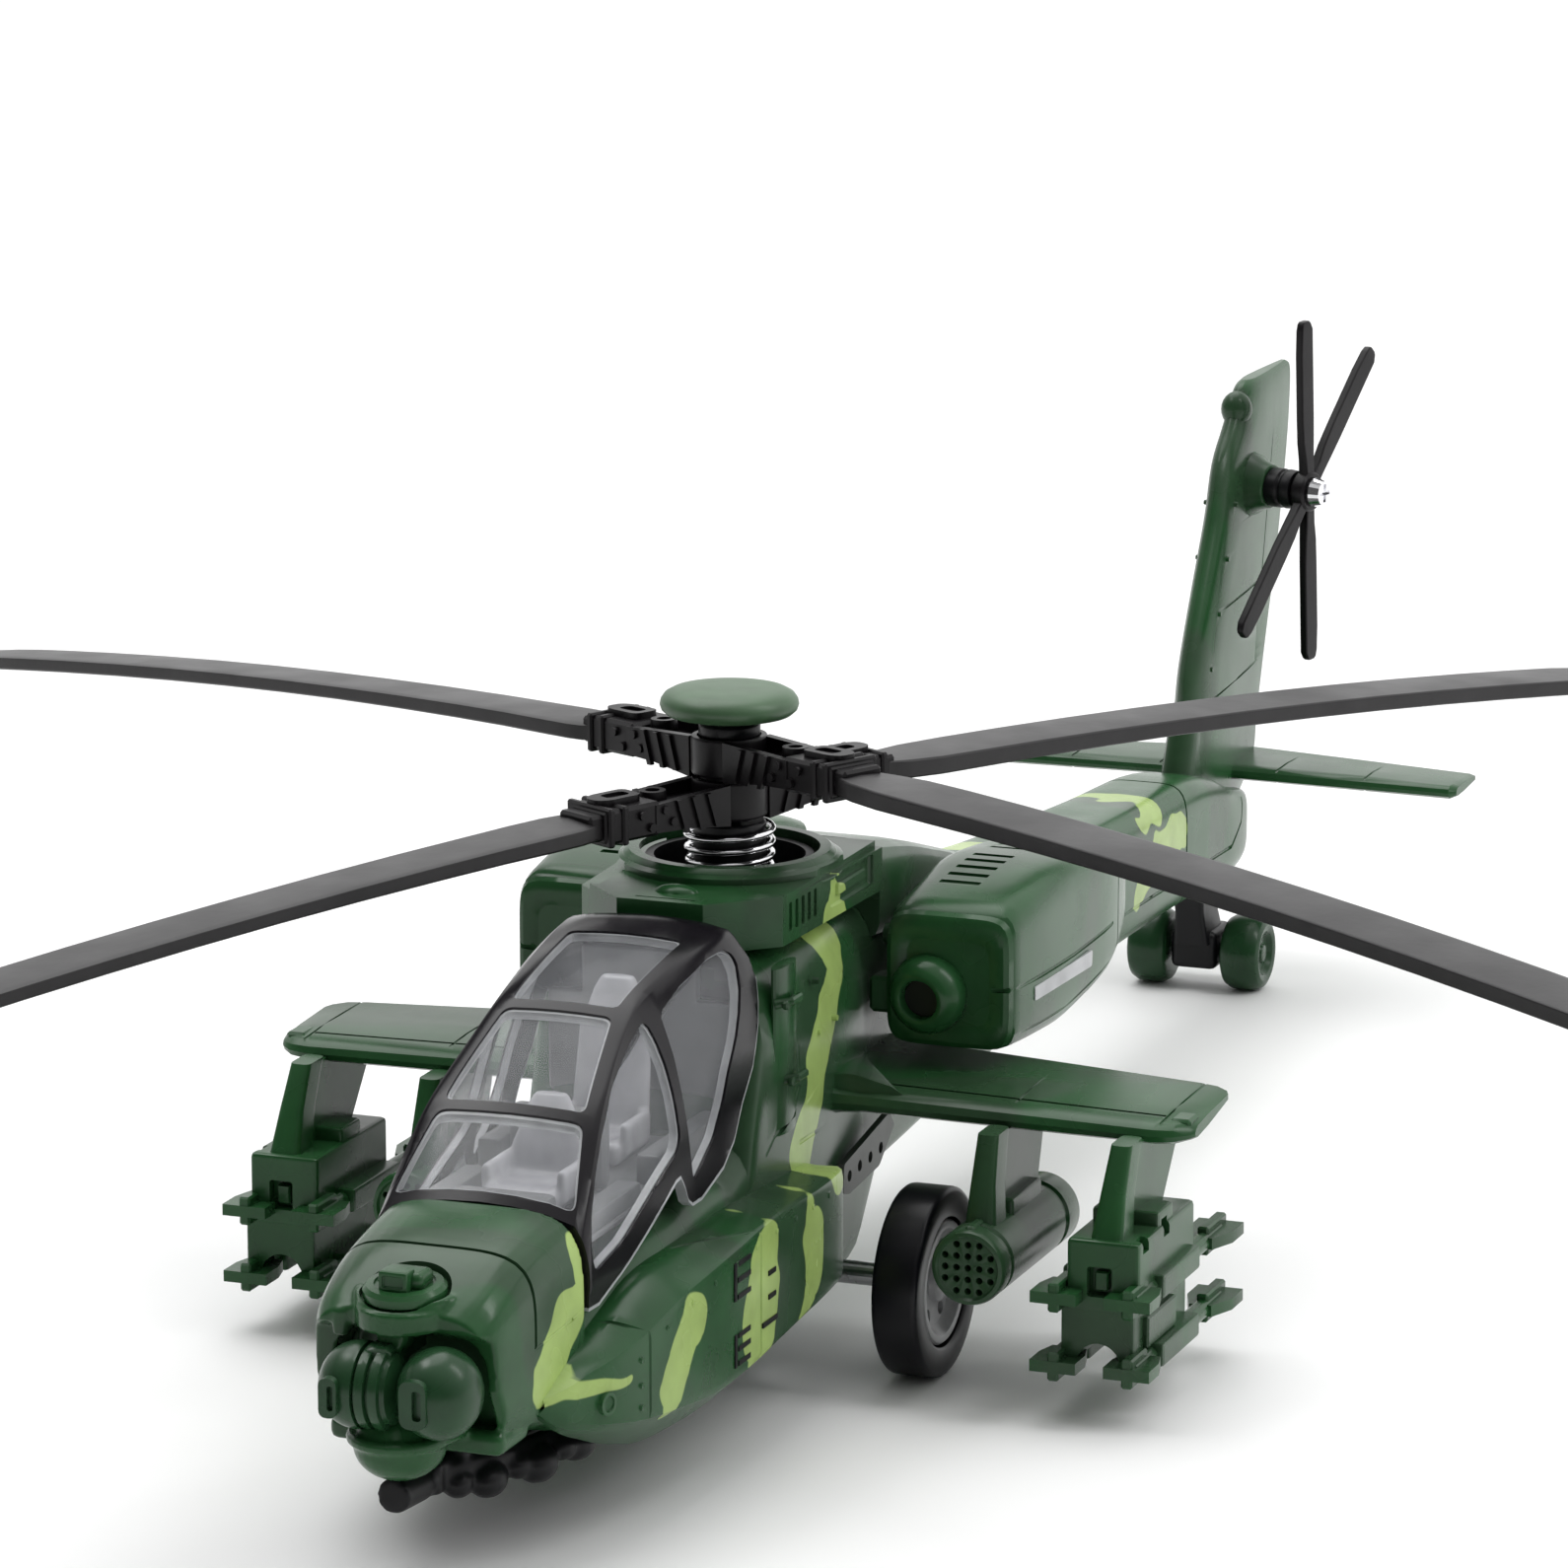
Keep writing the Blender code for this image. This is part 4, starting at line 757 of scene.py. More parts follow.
def make_canopy():
    """Black frame with its windows, a clear moulding inside it with pale strips of painted highlight along its
    edges, and a seated cockpit.
    """
    skin = link_mesh("canopy_frame_visible", canopy_skin(0))
    cut(skin, canopy_skin(1.1, 6, 1.1))
    boolean(skin, sill_block(0), "INTERSECT")
    glass = link_mesh("canopy_glass_visible", canopy_skin(0.45))
    cut(glass, canopy_skin(0.95, 6, 1.1), block(0, 20, (-70, -64.7), (0, 60)),
        block(0, 20, (-22.2, -15), (0, 60)))
    boolean(glass, sill_block(0.8), "INTERSECT")
    for outline, *place in OPENINGS:
        cut(skin, plate(rounded(outline, 0.9, 4 if place[1] == "XY" else 3), *place))
    finish(skin, "frame_black", bevel=0.3, segments=3, angle=32)
    finish(glass, "clear", angle=32)
    # A pale strip under the frame is a painted highlight, the glint along the clear moulding's lower edge.
    sill_highlight = link_mesh("canopy_sill_highlight", canopy_skin(0))
    cut(sill_highlight, canopy_skin(1.1, 6, 1.1))
    boolean(sill_highlight, sill_block(-0.32), "INTERSECT")
    cut(sill_highlight, sill_block(0.03))
    finish(sill_highlight, "painted_edge_highlight", angle=32)
    # Pale strips round each window are painted highlights, the glints on the clear moulding's edges.
    for number, (outline, depth, plane, at) in enumerate(OPENINGS, start=1):
        edge = link_mesh(f"window_highlight_{number}", plate(rounded(outline, 0.9, 3), depth, plane, at))
        cut(edge, plate(rounded(shrunk(outline, 0.26), 0.7, 3), depth + 2, plane, at))
        boolean(edge, canopy_skin(0.25, 0, 0.25), "INTERSECT")
        cut(edge, canopy_skin(1, 6, 1))
        finish(edge, "painted_edge_highlight", angle=32)

    tub = link_mesh("cockpit_tub", block(0, 9.6, (-63, -45.6), (27.9, 28.6), 0.2, 1))
    fuse(tub, block(0, 10.2, (-46.4, -24), (28, 29), 0.2, 1), block(0, 6.2, (-24.9, -23.6), (28.6, 47.4), 0.5),
         block(0, 9.8, (-24.9, -23.6), (28.6, 42.6), 0.5), block(0, 5.2, (-62.6, -58.2), (28.4, 31.8), 0.7),
         block(0, 5, (-46.6, -44.2), (28.8, 36.6), 0.8))
    for side in (1, -1):
        fuse(tub, block(side * 7.9, 1.3, (-60, -47), (28.3, 30.4), 0.4),
             block(side * 8.3, 1.2, (-43.6, -26), (28.7, 32), 0.4))
    finish(tub, "grey", bevel=0.1)

    seats = link_mesh("crew_seats", seat(-50.4, 29, 35.4))
    fuse(seats, seat(-34.4, 29.6, 43))
    melt(seats, 0.3, 4)
    finish(seats, "seat", covers=("cockpit_seats",), angle=60, weighted=False)


def seat(y, base, top):
    """A bucket seat: cushion, winged back and a domed headrest."""
    item = link_mesh("seat", block(0, 3.8, (y - 5.6, y + 1.8), (base - 0.4, base + 2), 0.7))
    back = []
    for z, half, deep in ((base, 3.9, 1.3), (base + 3, 4.1, 1.2), (top - 2, 3.8, 1.1), (top, 3, 1),
                          (top + 1.6, 2.5, 1), (top + 3, 1.7, 0.8)):
        ring = []
        for i in range(24):
            c, s = math.cos(TAU * i / 24), math.sin(TAU * i / 24)
            ring.append((half * math.copysign(abs(c) ** 0.6, c), y + 1.6 + (z - base) * 0.16 + deep * s, z))
        back.append(ring)
    fuse(item, loft(back))
    for side in (1, -1):
        fuse(item, block(side * 3.9, 0.5, (y - 4.4, y + 2), (base + 0.4, base + 3.8), 0.4))
    return lifted(item)


# ------------------------------------------------------------------ deck, sponsons, nacelles, wings

def make_deck():
    """The rotor platform: chamfered slab, grilles and panels in its sides, a stepped ring and a boss."""
    outline = ((-4.6, -19.2), (4.6, -19.2), (10.8, -13.2), (11.7, 13), (-11.7, 13), (-10.8, -13.2))
    ring = ((9.2, 50), (11.6, 50), (11.5, 51.5), (10.9, 51.8), (10.8, 52), (10.3, 52.35), (9.2, 52.35))
    deck = link_mesh("deck", plate(outline, 5.1, "XY", 48.35))
    fuse(deck, turned(ring, steps=72), ball((0, -14.6, 50.7), (2.4, 1.4, 0.9)))
    slots = []
    for side in (1, -1):
        for y in (-11.6, -10, -8.4, -6.8, -5.2):
            slots.append(block(side * 11.2, 0.9, (y, y + 0.75), (47, 49.9), 0.12, 1))
        slots.append(block(side * 11.75, 0.7, (-0.9, 10.6), (46.9, 50.1), 0.25, 1))
        slots.append(box((side * 11.4 - 0.5, -14.6, 50.3), (side * 11.4 + 3, 14.6, 51.6)))
    cut(deck, merge(*slots))
    for side in (1, -1):
        fuse(deck, box((side * 11.1 - 0.5, 1, 47.9), (side * 11.1 + 0.45, 8.6, 49.1), 0.2, 1))
    cut(deck, rod((0, 0, 40), (0, 0, 60), 8.9, segments=72),
        plate(((-3.2, -18), (3.2, -18), (3.2, -17.7), (-3.2, -17.7)), 0.6, "XY", 51))
    finish(deck, "camouflage", covers=("rotor_deck",), bevel=0.22)
    well = ((8.6, 51.6), (8.6, 45.7), (2.4, 45.7), (2.4, 47), (7.5, 47), (7.7, 51.6))
    finish(link_mesh("well_lining", turned(well, steps=64)), "black", covers=("spring_cup",), bevel=0.1)


# Sponson stations: y, inner x, outer x, underside, top edge, height of the top face at the body.
SPONSON = (
    (-74, 9.6, 10.2, 15.2, 16.6, 16.8), (-71.6, 10.2, 11.6, 13.6, 17.2, 17.8),
    (-69.3, 10.6, 12.6, 12.7, 17.9, 18.9), (-66, 10.8, 14.2, 12, 18.9, 20), (-61, 11, 15.4, 11.1, 20, 21.6),
    (-54.5, 11.4, 16.4, 10.5, 21.8, 23.4), (-48, 11.7, 16.8, 9.8, 22.5, 23.8), (-43, 11.9, 17.1, 9.8, 23, 24),
    (-36, 12, 17.2, 10.1, 23.5, 24.1), (-31, 12.1, 17.3, 10.6, 23.7, 24), (-24, 12.2, 17.3, 11.1, 23.5, 23.8),
    (-18, 12.2, 17.1, 11.3, 23.2, 23.5), (-12, 12.2, 16.6, 11.4, 23, 23.2), (-10.6, 12.2, 16.2, 11.5, 22.9, 23),
)
RIVET_PITCH = 5.1


def make_sponson(label, side):
    rings = []
    for y, inner, outer, low, top, at_body in eased(SPONSON, 3):
        inner -= 0.6
        under = max(5.6, low - 0.5 - 3.7 * min(1.0, max(0.0, (y + 72) / 18)))
        wide = outer - inner
        half = ((inner, under), (inner + wide * 0.5, (under + low) / 2 - 0.2), (outer - 0.8, low - 0.35),
                (outer - 0.15, low + 0.25), (outer, low + 1), (outer, (low + top) / 2), (outer, top - 0.9),
                (outer - 0.15, top - 0.2), (outer - 0.6, top + 0.05), (inner + wide * 0.4, at_body - 0.15),
                (inner, at_body))
        rings.append([(side * x, y, z) for x, z in half])
    pod = link_mesh(f"sponson_{label}_visible", loft(rings))
    seam(pod, side, 0.5, (15.5, -60.7, 8), (15.5, -60.7, 20.1), (10.9, -63.1, 21.2))
    seam(pod, side, 0.44, (17.2, -36, 6), (17.25, -36, 23.5), (11.9, -46.6, 23.9))
    heads = [(15.1, -62.2, z) for z in (17.5, 15, 12.8)]
    for index in range(9):
        y = -57.5 + index * RIVET_PITCH
        for row, after in zip(SPONSON, SPONSON[1:]):
            if row[0] <= y <= after[0]:
                t = (y - row[0]) / (after[0] - row[0])
                outer, top = row[2] + (after[2] - row[2]) * t, row[4] + (after[4] - row[4]) * t
                heads.append((outer - 0.1, y, top - 1.5))
    rivets(pod, side, 0.42, heads)
    lamp = ((0, 0), (1.15, 0), (1.15, 1.1), (0.8, 1.1), (0.7, 0.8), (0, 0.8))
    fuse(pod, turned(lamp, (side * 12.9, -67, 14.5), (side, -0.25, 0), 28))
    finish(pod, "camouflage", bevel=0.12, angle=30)
    # Painted step marks: rungs beside a rail, above and below.
    spans = [(17.25, *ends) for ends in ((-34.2, -32.3, 18.2, 18.7), (-34.2, -32.3, 15.8, 16.3),
                                         (-35.8, -31.9, 13.3, 13.8))]
    for y, low, high, reach in ((-42.8, 18, 21.8, 4), (-42.7, 11.3, 14.6, 3.8)):
        spans.append((17.12, y - 0.3, y + 0.3, low, high))
        for z in (low, (low + high) / 2 - 0.2, high - 0.5):
            spans.append((17.12, y + 0.7, y + reach, z, z + 0.5))
    marks = [box((side * x - 0.25, y_from, low), (side * x + 0.12, y_to, high))
             for x, y_from, y_to, low, high in spans]
    finish(link_mesh(f"step_marks_{label}", merge(*marks)), "black")


# Nacelle stations: y, middle x, half width, underside, top. The first ones pillow the front face.
NACELLE_FACE = (
    (8.9, 20.35, 4.4, 33.4, 42), (8.9, 20.35, 4.6, 33.2, 42.2), (8.6, 20.35, 5.2, 32.6, 42.9),
    (8.6, 20.35, 6.1, 31.5, 44), (8.9, 20.35, 6.6, 31, 44.6), (9.6, 20.4, 6.8, 30.8, 44.9),
    (9.9, 20.4, 6.6, 31, 44.8), (10.3, 20.4, 6.85, 30.7, 45.2),
)
NACELLE = (
    (11.5, 20.4, 6.95, 30.6, 45.6), (18, 20.4, 7.2, 30.2, 46.4), (28, 20, 7.5, 29.8, 46.8),
    (42, 19.7, 7.2, 31, 45.2), (51, 19, 6.3, 33, 43.4), (56.9, 18.3, 5.2, 34.4, 41.6),
)
INTAKE = (
    (0, -2.4), (3, -2.4), (3.7, -1.4), (4.1, 0), (4.15, 0.9), (3.9, 2), (3.3, 2.9), (2.6, 3.3), (2.15, 3.25),
    (2, 2.9), (1.95, 0.4), (0, 0.4),
)


def make_nacelle(label, side):
    """Engine housing with a pillowed front face, louvres, a side strip and an exhaust at the rear."""
    rows = (*NACELLE_FACE, *eased(NACELLE, 4))
    body = link_mesh(f"nacelle_{label}_visible", loft([oval(y, side * x, half, low, high, 6.5, 72)
                                                       for y, x, half, low, high in rows]))
    cut(body, rod((side * 18.4, 60, 38.2), (side * 18.8, 48, 38.2), 3.4),
        merge(*(block(side * 18.8, 2.2, (y, y + 1), (46, 49), 0.1, 1)
                for y in (16.4, 19, 21.6, 24.2, 26.8, 32.2, 34.8))))
    seam(body, side, 0.5, (27.45, 10, 37.35), (27.6, 14.8, 37.2), (27.55, 28, 36.8), (26.95, 43, 36.7))
    seam(body, side, 0.4, (27.3, 9, 32.4), (27.4, 26, 31.7), (26.8, 42, 32.6))
    seam(body, side, 0.6, (22.4, 8.3, 37.3), (27.4, 8.9, 37.45))
    cut(body, hoop(45.8, 6.95, 32, 44.55, side * 19.45))
    for z in (34.4, 40.7):
        fuse(body, rod((side * 11.4, 15.1, z), (side * 15.5, 15.1, z), 1.1, segments=16))
    fuse(body, block(side * 13.2, 1.8, (9.8, 13), (33.6, 37.4), 0.4, 1))
    finish(body, "green", bevel=0.14, angle=30)
    label_outline = rounded(((15.2, 36.4), (33.6, 36), (33.4, 34.3), (15.2, 34.9)), 0.3)
    strip = link_mesh(f"nacelle_strip_{label}", plate(label_outline, 0.5, "YZ", side * 27.42))
    finish(strip, "pale_label", bevel=0.06)
    intake = turned(INTAKE, (side * 18.4, 9.4, 36.4), (-side * 0.10, -1, -0.06), 56)
    finish(link_mesh(f"intake_{label}_visible", intake), "green", bevel=0.08)
    bore = rod((side * 18.2, 7.2, 36.3), (side * 18.3, 8.6, 36.35), 1.93)
    finish(link_mesh(f"intake_bore_{label}", bore), "black")


def wing_ring(x, front, rear, z_front, z_rear, thick):
    """An aerofoil section with a round nose."""
    points = []
    for t in (0, 0.02, 0.08, 0.2, 0.4, 0.65, 0.9, 1):
        nose = min(1.0, (t / 0.06) ** 0.5)
        points.append((t, thick * 0.5 * nose * (1 - 0.55 * max(0.0, t - 0.4) / 0.6)))
    ring = []
    for way, row in ((1, points), (-1, points[:0:-1])):
        ring += [(x, front + (rear - front) * t, z_front + (z_rear - z_front) * t + way * high)
                 for t, high in row]
    return ring


# Wing stations: x, leading and trailing edge, their heights, thickness.
WING = (
    (10.6, -3, 18.6, 27.2, 28.3, 3.9), (12.4, -2.8, 18, 27.2, 28.3, 2.9), (15, -2.5, 17.3, 27.2, 28.3, 2.5),
    (30, -2.8, 15.2, 27.1, 28.2, 2.4), (46.2, -3.1, 12.9, 27, 28.1, 2.2), (48.2, -2.5, 12.4, 27, 28.1, 2),
    (49.5, -1.2, 11.4, 27, 28.1, 1.5), (49.95, -0.4, 10.4, 27, 28.1, 1.2),
)


def make_wing(label, side):
    wing = link_mesh(f"wing_{label}_visible", loft([wing_ring(side * x, *station) for x, *station in WING]))
    seam(wing, side, 0.6, (13, 1.2, 28.5), (46.6, 0.4, 28.15))
    seam(wing, side, 0.3, (31, -0.4, 28.5), (31, 16, 29))
    seam(wing, side, 0.34, (46.8, -3.4, 28.1), (46.8, 13.4, 28.7))
    fuse(wing, loft([[(side * x, y, z) for x, y in ((11, -1.8), (11 + reach, -1.4), (11, back))]
                     for z, reach, back in ((27.6, 9.5, 12.5), (29.1, 7, 9.5), (30, 3, 5))]),
         block(side * 48.4, 1.1, (-0.6, 2.4), (27, 28.4), 0.3, 1))
    finish(wing, "green", bevel=0.1, angle=32)


PYLON_WIDTH = 1.1


def pylon(item, x, top, bottom):
    """Fuses on a rounded strut with a thinner swept plate behind it; the plate has to go on first."""
    (front_top, back_top, high), (front_low, back_low, low) = top, bottom
    web = plate(((back_top, high - 0.4), (front_top + 1.7, high - 0.4), (front_low + 1.9, low - 0.7),
                 (back_low, low - 0.7)), PYLON_WIDTH * 1.5, "YZ", x)
    rows = ((low, front_low, PYLON_WIDTH * 1.6),
            ((low + high) / 2, (front_low + front_top) / 2 - 0.4, PYLON_WIDTH * 1.2),
            (high, front_top, PYLON_WIDTH))
    strut = loft([[(x + wide * px, y + py, z) for px, py in panel(-1, 1, 0, 4.2, 0.8)] for z, y, wide in rows])
    fuse(item, web, strut)


POD = (
    (0, 0.35), (3.1, 0.35), (3.3, 0), (3.7, 0.1), (3.9, 0.7), (3.9, 2.4), (3.7, 2.6), (3.7, 3.1), (3.9, 3.3),
    (3.9, 19.2), (3.65, 19.5), (3.65, 20.2), (3.9, 20.5), (3.9, 23.6), (3.5, 24.5), (2.4, 24.8), (0, 24.8),
)
TUBE_PITCH = 1.2


def make_pod(label, side):
    """Rocket pod with tubes in its face, hung from a raked pylon."""
    x, z, front = side * 30.4, 14.5, -13.4
    pod = link_mesh(f"rocket_pod_{label}_visible", turned(POD, (x, front, z), (0, 1, 0), 56))
    holes = []
    for row, count in enumerate((3, 5, 5, 5, 3)):
        for column in range(count):
            hole_x, hole_z = x + (column - (count - 1) / 2) * TUBE_PITCH, z + (row - 2) * TUBE_PITCH
            holes.append(rod((hole_x, front - 1, hole_z), (hole_x, front + 2.4, hole_z), 0.36, segments=12))
    cut(pod, merge(*holes))
    pylon(pod, x, (-7.6, 8.4, 26.8), (-10, 5, 16.8))
    fuse(pod, block(x, 1.9, (-4.8, 4.2), (17.2, 19.6), 0.4), block(x, 0.5, (-12.6, 8), (17.6, 18.7), 0.25, 1))
    finish(pod, "green", bevel=0.14, angle=32)


# Missile fins seen from above, fore and aft, about the missile's middle.
CANARDS = ((-1.8, -9.8), (-2.4, -12.2), (-2.4, -15.3), (2.4, -15.3), (2.4, -12.2), (1.8, -9.8))
TAIL_FINS = ((-2.4, 15.5), (-2.4, 11.8), (-1.2, 8.6), (1.2, 8.6), (2.4, 11.8), (2.4, 15.5))


def make_rack(label, side):
    """Launcher blocks on a raked pylon, with four chunky missiles in cradles."""
    x = side * 44.4
    rack = link_mesh(f"missile_rack_{label}_visible", box((x - 3.7, -13, 11.2), (x + 3.9, 5, 18.7), 0.5))
    pylon(rack, x + side * 0.2, (-8.1, 9.9, 27.2), (-12.6, 2.2, 18.2))
    fuse(rack, box((x - 4.3, -12.9, 6.3), (x + 3.4, 4, 11.8), 0.4),
         box((x - 3.4, -6, 17.6), (x + 3.6, -1, 20.1), 0.4),
         block(x + side * 3.6, 0.4, (-10, -1), (7.2, 10.4), 0.2, 1))
    for y in (-10.8, -4.2):
        cut(rack, block(x + side * 3.9, 0.9, (y - 0.9, y + 0.9), (17.4, 19.2)))
    cut(rack, box((x - 1.5, -15, 12.9), (x + 1.1, -11.6, 16), 0.2, 1))
    fuse(rack, box((x - 0.9, -12.4, 13.4), (x + 0.5, -11.2, 15.4), 0.15, 1))
    cut(rack, rod((x - 0.3, -14, 5.8), (x - 0.3, 6, 5.8), 2.3, segments=28))
    for middle in (side * 40.1, side * 47.8):
        for z in (13, 5.9):
            fuse(rack, rod((middle, -14, z), (middle, 13.6, z), 0.95, segments=20),
                 block(middle, 1.5, (-8, 4), (z - 1.2, z + 1.3), 0.4))
            for outline in (CANARDS, TAIL_FINS):
                fuse(rack, plate([(middle + a, b) for a, b in outline], 1.2, "XY", z))
            for ends in ((-15.2, -10.2), (9.2, 15.4)):
                fuse(rack, block(middle, 0.6, ends, (z - 1.5, z + 1.5), 0.2, 1))
    finish(rack, "green", bevel=0.16, angle=32)


def make_bracket(label, side):
    """The pale plate with four holes behind the sponson."""
    outline = ((-1.6, 17.4), (-1.4, 20.4), (12, 22.5), (13.5, 20.9), (9, 17.6), (0, 16.9))
    bracket = link_mesh(f"bracket_{label}", plate(rounded(outline, 0.5), 0.7, "YZ", side * 12.6))
    cut(bracket, merge(*(rod((side * 11, y, z), (side * 15, y, z), 0.6, segments=20)
                         for y, z in ((0.2, 18.8), (3.2, 19.1), (6.3, 19.2), (9.4, 19.4)))))
    finish(bracket, "lining", bevel=0.1)


# ------------------------------------------------------------------ tail

# Fin stations: height, leading and trailing edge, thickness.
FIN = (
    (21.8, 150.8, 170.5, 5), (25.2, 149.4, 176, 4.6), (30, 148.6, 177.4, 4.4), (36, 149.4, 179.6, 4.3),
    (41, 150.6, 181.6, 4.1), (49, 155, 184.8, 4), (57, 159.7, 187.4, 3.8), (63.3, 162.4, 189, 3.7),
    (67, 166.4, 189.6, 3.6), (70, 169.2, 190, 3.2), (71.6, 170.6, 189.8, 2.6), (72.3, 172.6, 188.4, 1.6),
)
# The tail rotor's shaft, and profiles along it.
SHAFT = Vector((math.cos(math.radians(-15)), math.sin(math.radians(-15)), 0))
TAIL_HUB = Vector((9.3, 168.5, 59.9))
BOSS = ((0, -9.6), (3.9, -9.6), (4.1, -8.6), (3.7, -7.2), (3, -6), (2.7, -5), (2.5, -4.8), (0, -4.8))
SPACER = (
    (0, -4.8), (2.3, -4.8), (2.4, -4.5), (2.4, -3.2), (2.15, -3), (2.15, -2.7), (2.4, -2.5), (2.3, -1.25),
    (0, -1.25),
)
TAIL_RING = ((1.12, -0.9), (2.2, -0.9), (2.45, -0.6), (2.45, 0.7), (2.2, 0.95), (1.12, 0.95))
# Tail blade stations: reach, half chord, thickness, shift across.
TAIL_BLADE = (
    (1.9, 0.8, 1.3, 0), (4, 0.9, 1.2, 0), (6, 1.15, 1.1, 0.1), (9, 1.3, 1, 0.1), (17, 1.3, 1, 0.1),
    (19.9, 1.2, 1, 0), (20.7, 0.9, 0.9, 0.1), (20.95, 0.6, 0.8, 0.1),
)


def fin_ring(z, front, rear, thick):
    """A fin section: round thick nose, tapering to a thin trailing edge."""
    half = ((0, 0), (0.012, 0.34), (0.05, 0.68), (0.12, 0.92), (0.25, 1), (0.5, 0.86), (0.8, 0.56), (1, 0.30))
    points = [(thick / 2 * wide, front + (rear - front) * t, z) for t, wide in half]
    return points + [(-x, y, z) for x, y, z in reversed(points[1:])]


def make_fin():
    fin = link_mesh("tail_fin_visible", loft([fin_ring(*row) for row in eased(FIN, 4)]))
    root = [fin_ring(z, 145.4 + (z - 27.6) * 0.42, 158, 4.2 - (z - 27.6) * 0.1) for z in (26.4, 29, 31.6, 36)]
    fuse(fin, loft(root), ball((0, 169.6, 69.2), (1.9, 2, 2.2), 24))
    for side in (1, -1):
        for z, y_from, y_to in ((36.4, 155, 176), (46.6, 158, 180), (56, 166, 183)):
            seam(fin, side, 0.4, (2.1, y_from, z), (1.15, y_to, z + 0.6))
        seam(fin, side, 0.36, (1.35, 173.6, 33), (1.1, 181, 66))
    for side in (1, -1):
        rivets(fin, side, 0.4, [(1.9, 154.8 + 3 * i, 40 + 6.2 * i) for i in range(4)])
    finish(fin, "green", angle=40)


def make_stabilizer():
    half = ((0, 163.6, 177.6, 1.6), (15, 163.2, 175, 1.6), (29.4, 162.8, 172.4, 1.6), (30.2, 163.6, 172, 1))
    rows = [(-x, *rest) for x, *rest in half[:0:-1]] + list(half)
    board = link_mesh("stabilizer_visible", loft([wing_ring(x, front, rear, 25.2, 25.3, thick)
                                                  for x, front, rear, thick in rows]))
    for x in (-18.6, -7.4, 7.4, 18.6):
        for z in (25.95, 24.45):
            seam(board, 1, 0.36, (x, 161, z), (x, 179, z))
    finish(board, "green", bevel=0.08, angle=32)


def make_tail_rotor():
    finish(link_mesh("tail_rotor_boss_visible", turned(BOSS, TAIL_HUB, SHAFT, 40)), "green", bevel=0.1)
    finish(link_mesh("tail_rotor_spacer_visible", turned(SPACER, TAIL_HUB, SHAFT, 40)), "black", bevel=0.06)
    keep_cad("chrome", "tail_rotor_screw")
    rotor = link_mesh("tail_rotor_visible", turned(TAIL_RING, TAIL_HUB, SHAFT, 40))
    up = Vector((0, 0, 1))
    aft = up.cross(SHAFT)
    for degrees in (-3, 177, 43, 223):
        angle = math.radians(degrees)
        along = up * math.cos(angle) + aft * math.sin(angle)
        across = SHAFT.cross(along)
        rows = []
        for reach, wide, thick, shift in TAIL_BLADE:
            centre = TAIL_HUB + along * reach + across * shift + SHAFT * 0.05
            section = panel(-wide, wide, -thick / 2, thick / 2, 0.22)
            rows.append([centre + across * a + SHAFT * b for a, b in section])
        fuse(rotor, loft(rows))
    finish(rotor, "cuff", "rear_rotor", bevel=0.05, angle=38)


def make_carrier():
    carrier = link_mesh("tail_carrier_visible", block(0, 2.9, (154.6, 161.8), (2.7, 7.5), 0.9, 3))
    fuse(carrier, post(((6, 2.2, 153.6, 160.6), (10, 1.8, 152.8, 159), (14.2, 2, 152, 159.4)), 0.6))
    cut(carrier, rod((-6, *TAIL_AXLE), (6, *TAIL_AXLE), 1.14, segments=24))
    finish(carrier, "black", bevel=0.15)


# ------------------------------------------------------------------ main rotor

BLADE_STATIONS = (14.5, 17, 19, 20.2, 22, 26, 32, *range(40, 111, 10), 118, 124, 127.6, 129.2, 129.9)
BLADE_END = 130.4
LOWER_BAR_Z, UPPER_BAR_Z = 57.6, 61.9
# The blade's section as parts of its chord and thickness.
BLADE_SECTION = (
    (-0.5, -0.42), (-0.5, 0.36), (-0.47, 0.46), (-0.1, 0.5), (0.40, 0.40), (0.5, 0.30), (0.5, -0.36),
    (0.47, -0.46), (0, -0.5), (-0.47, -0.5),
)
DROOP = -0.00046


def blade():
    """One blade along +X: a slab with upright edges, flat satin faces and a drooping, rounded tip."""
    rows = []
    for reach in BLADE_STATIONS:
        grow = min(1.0, max(0.0, (reach - 19) / 5)) ** 0.6
        tip = min(1.0, (BLADE_END - reach) / 4) ** 0.5
        chord = (4.6 + 2.8 * grow) * tip
        thick = 2.2 - 0.4 * min(1.0, reach / 60)
        z = DROOP * reach * reach
        twist = math.radians(3) * min(1.0, max(0.0, (reach - 20) / 8))
        c, s = math.cos(twist), math.sin(twist)
        rows.append([(reach, across * chord * c - up * thick * s, z + across * chord * s + up * thick * c)
                     for across, up in BLADE_SECTION])
    return loft(rows)


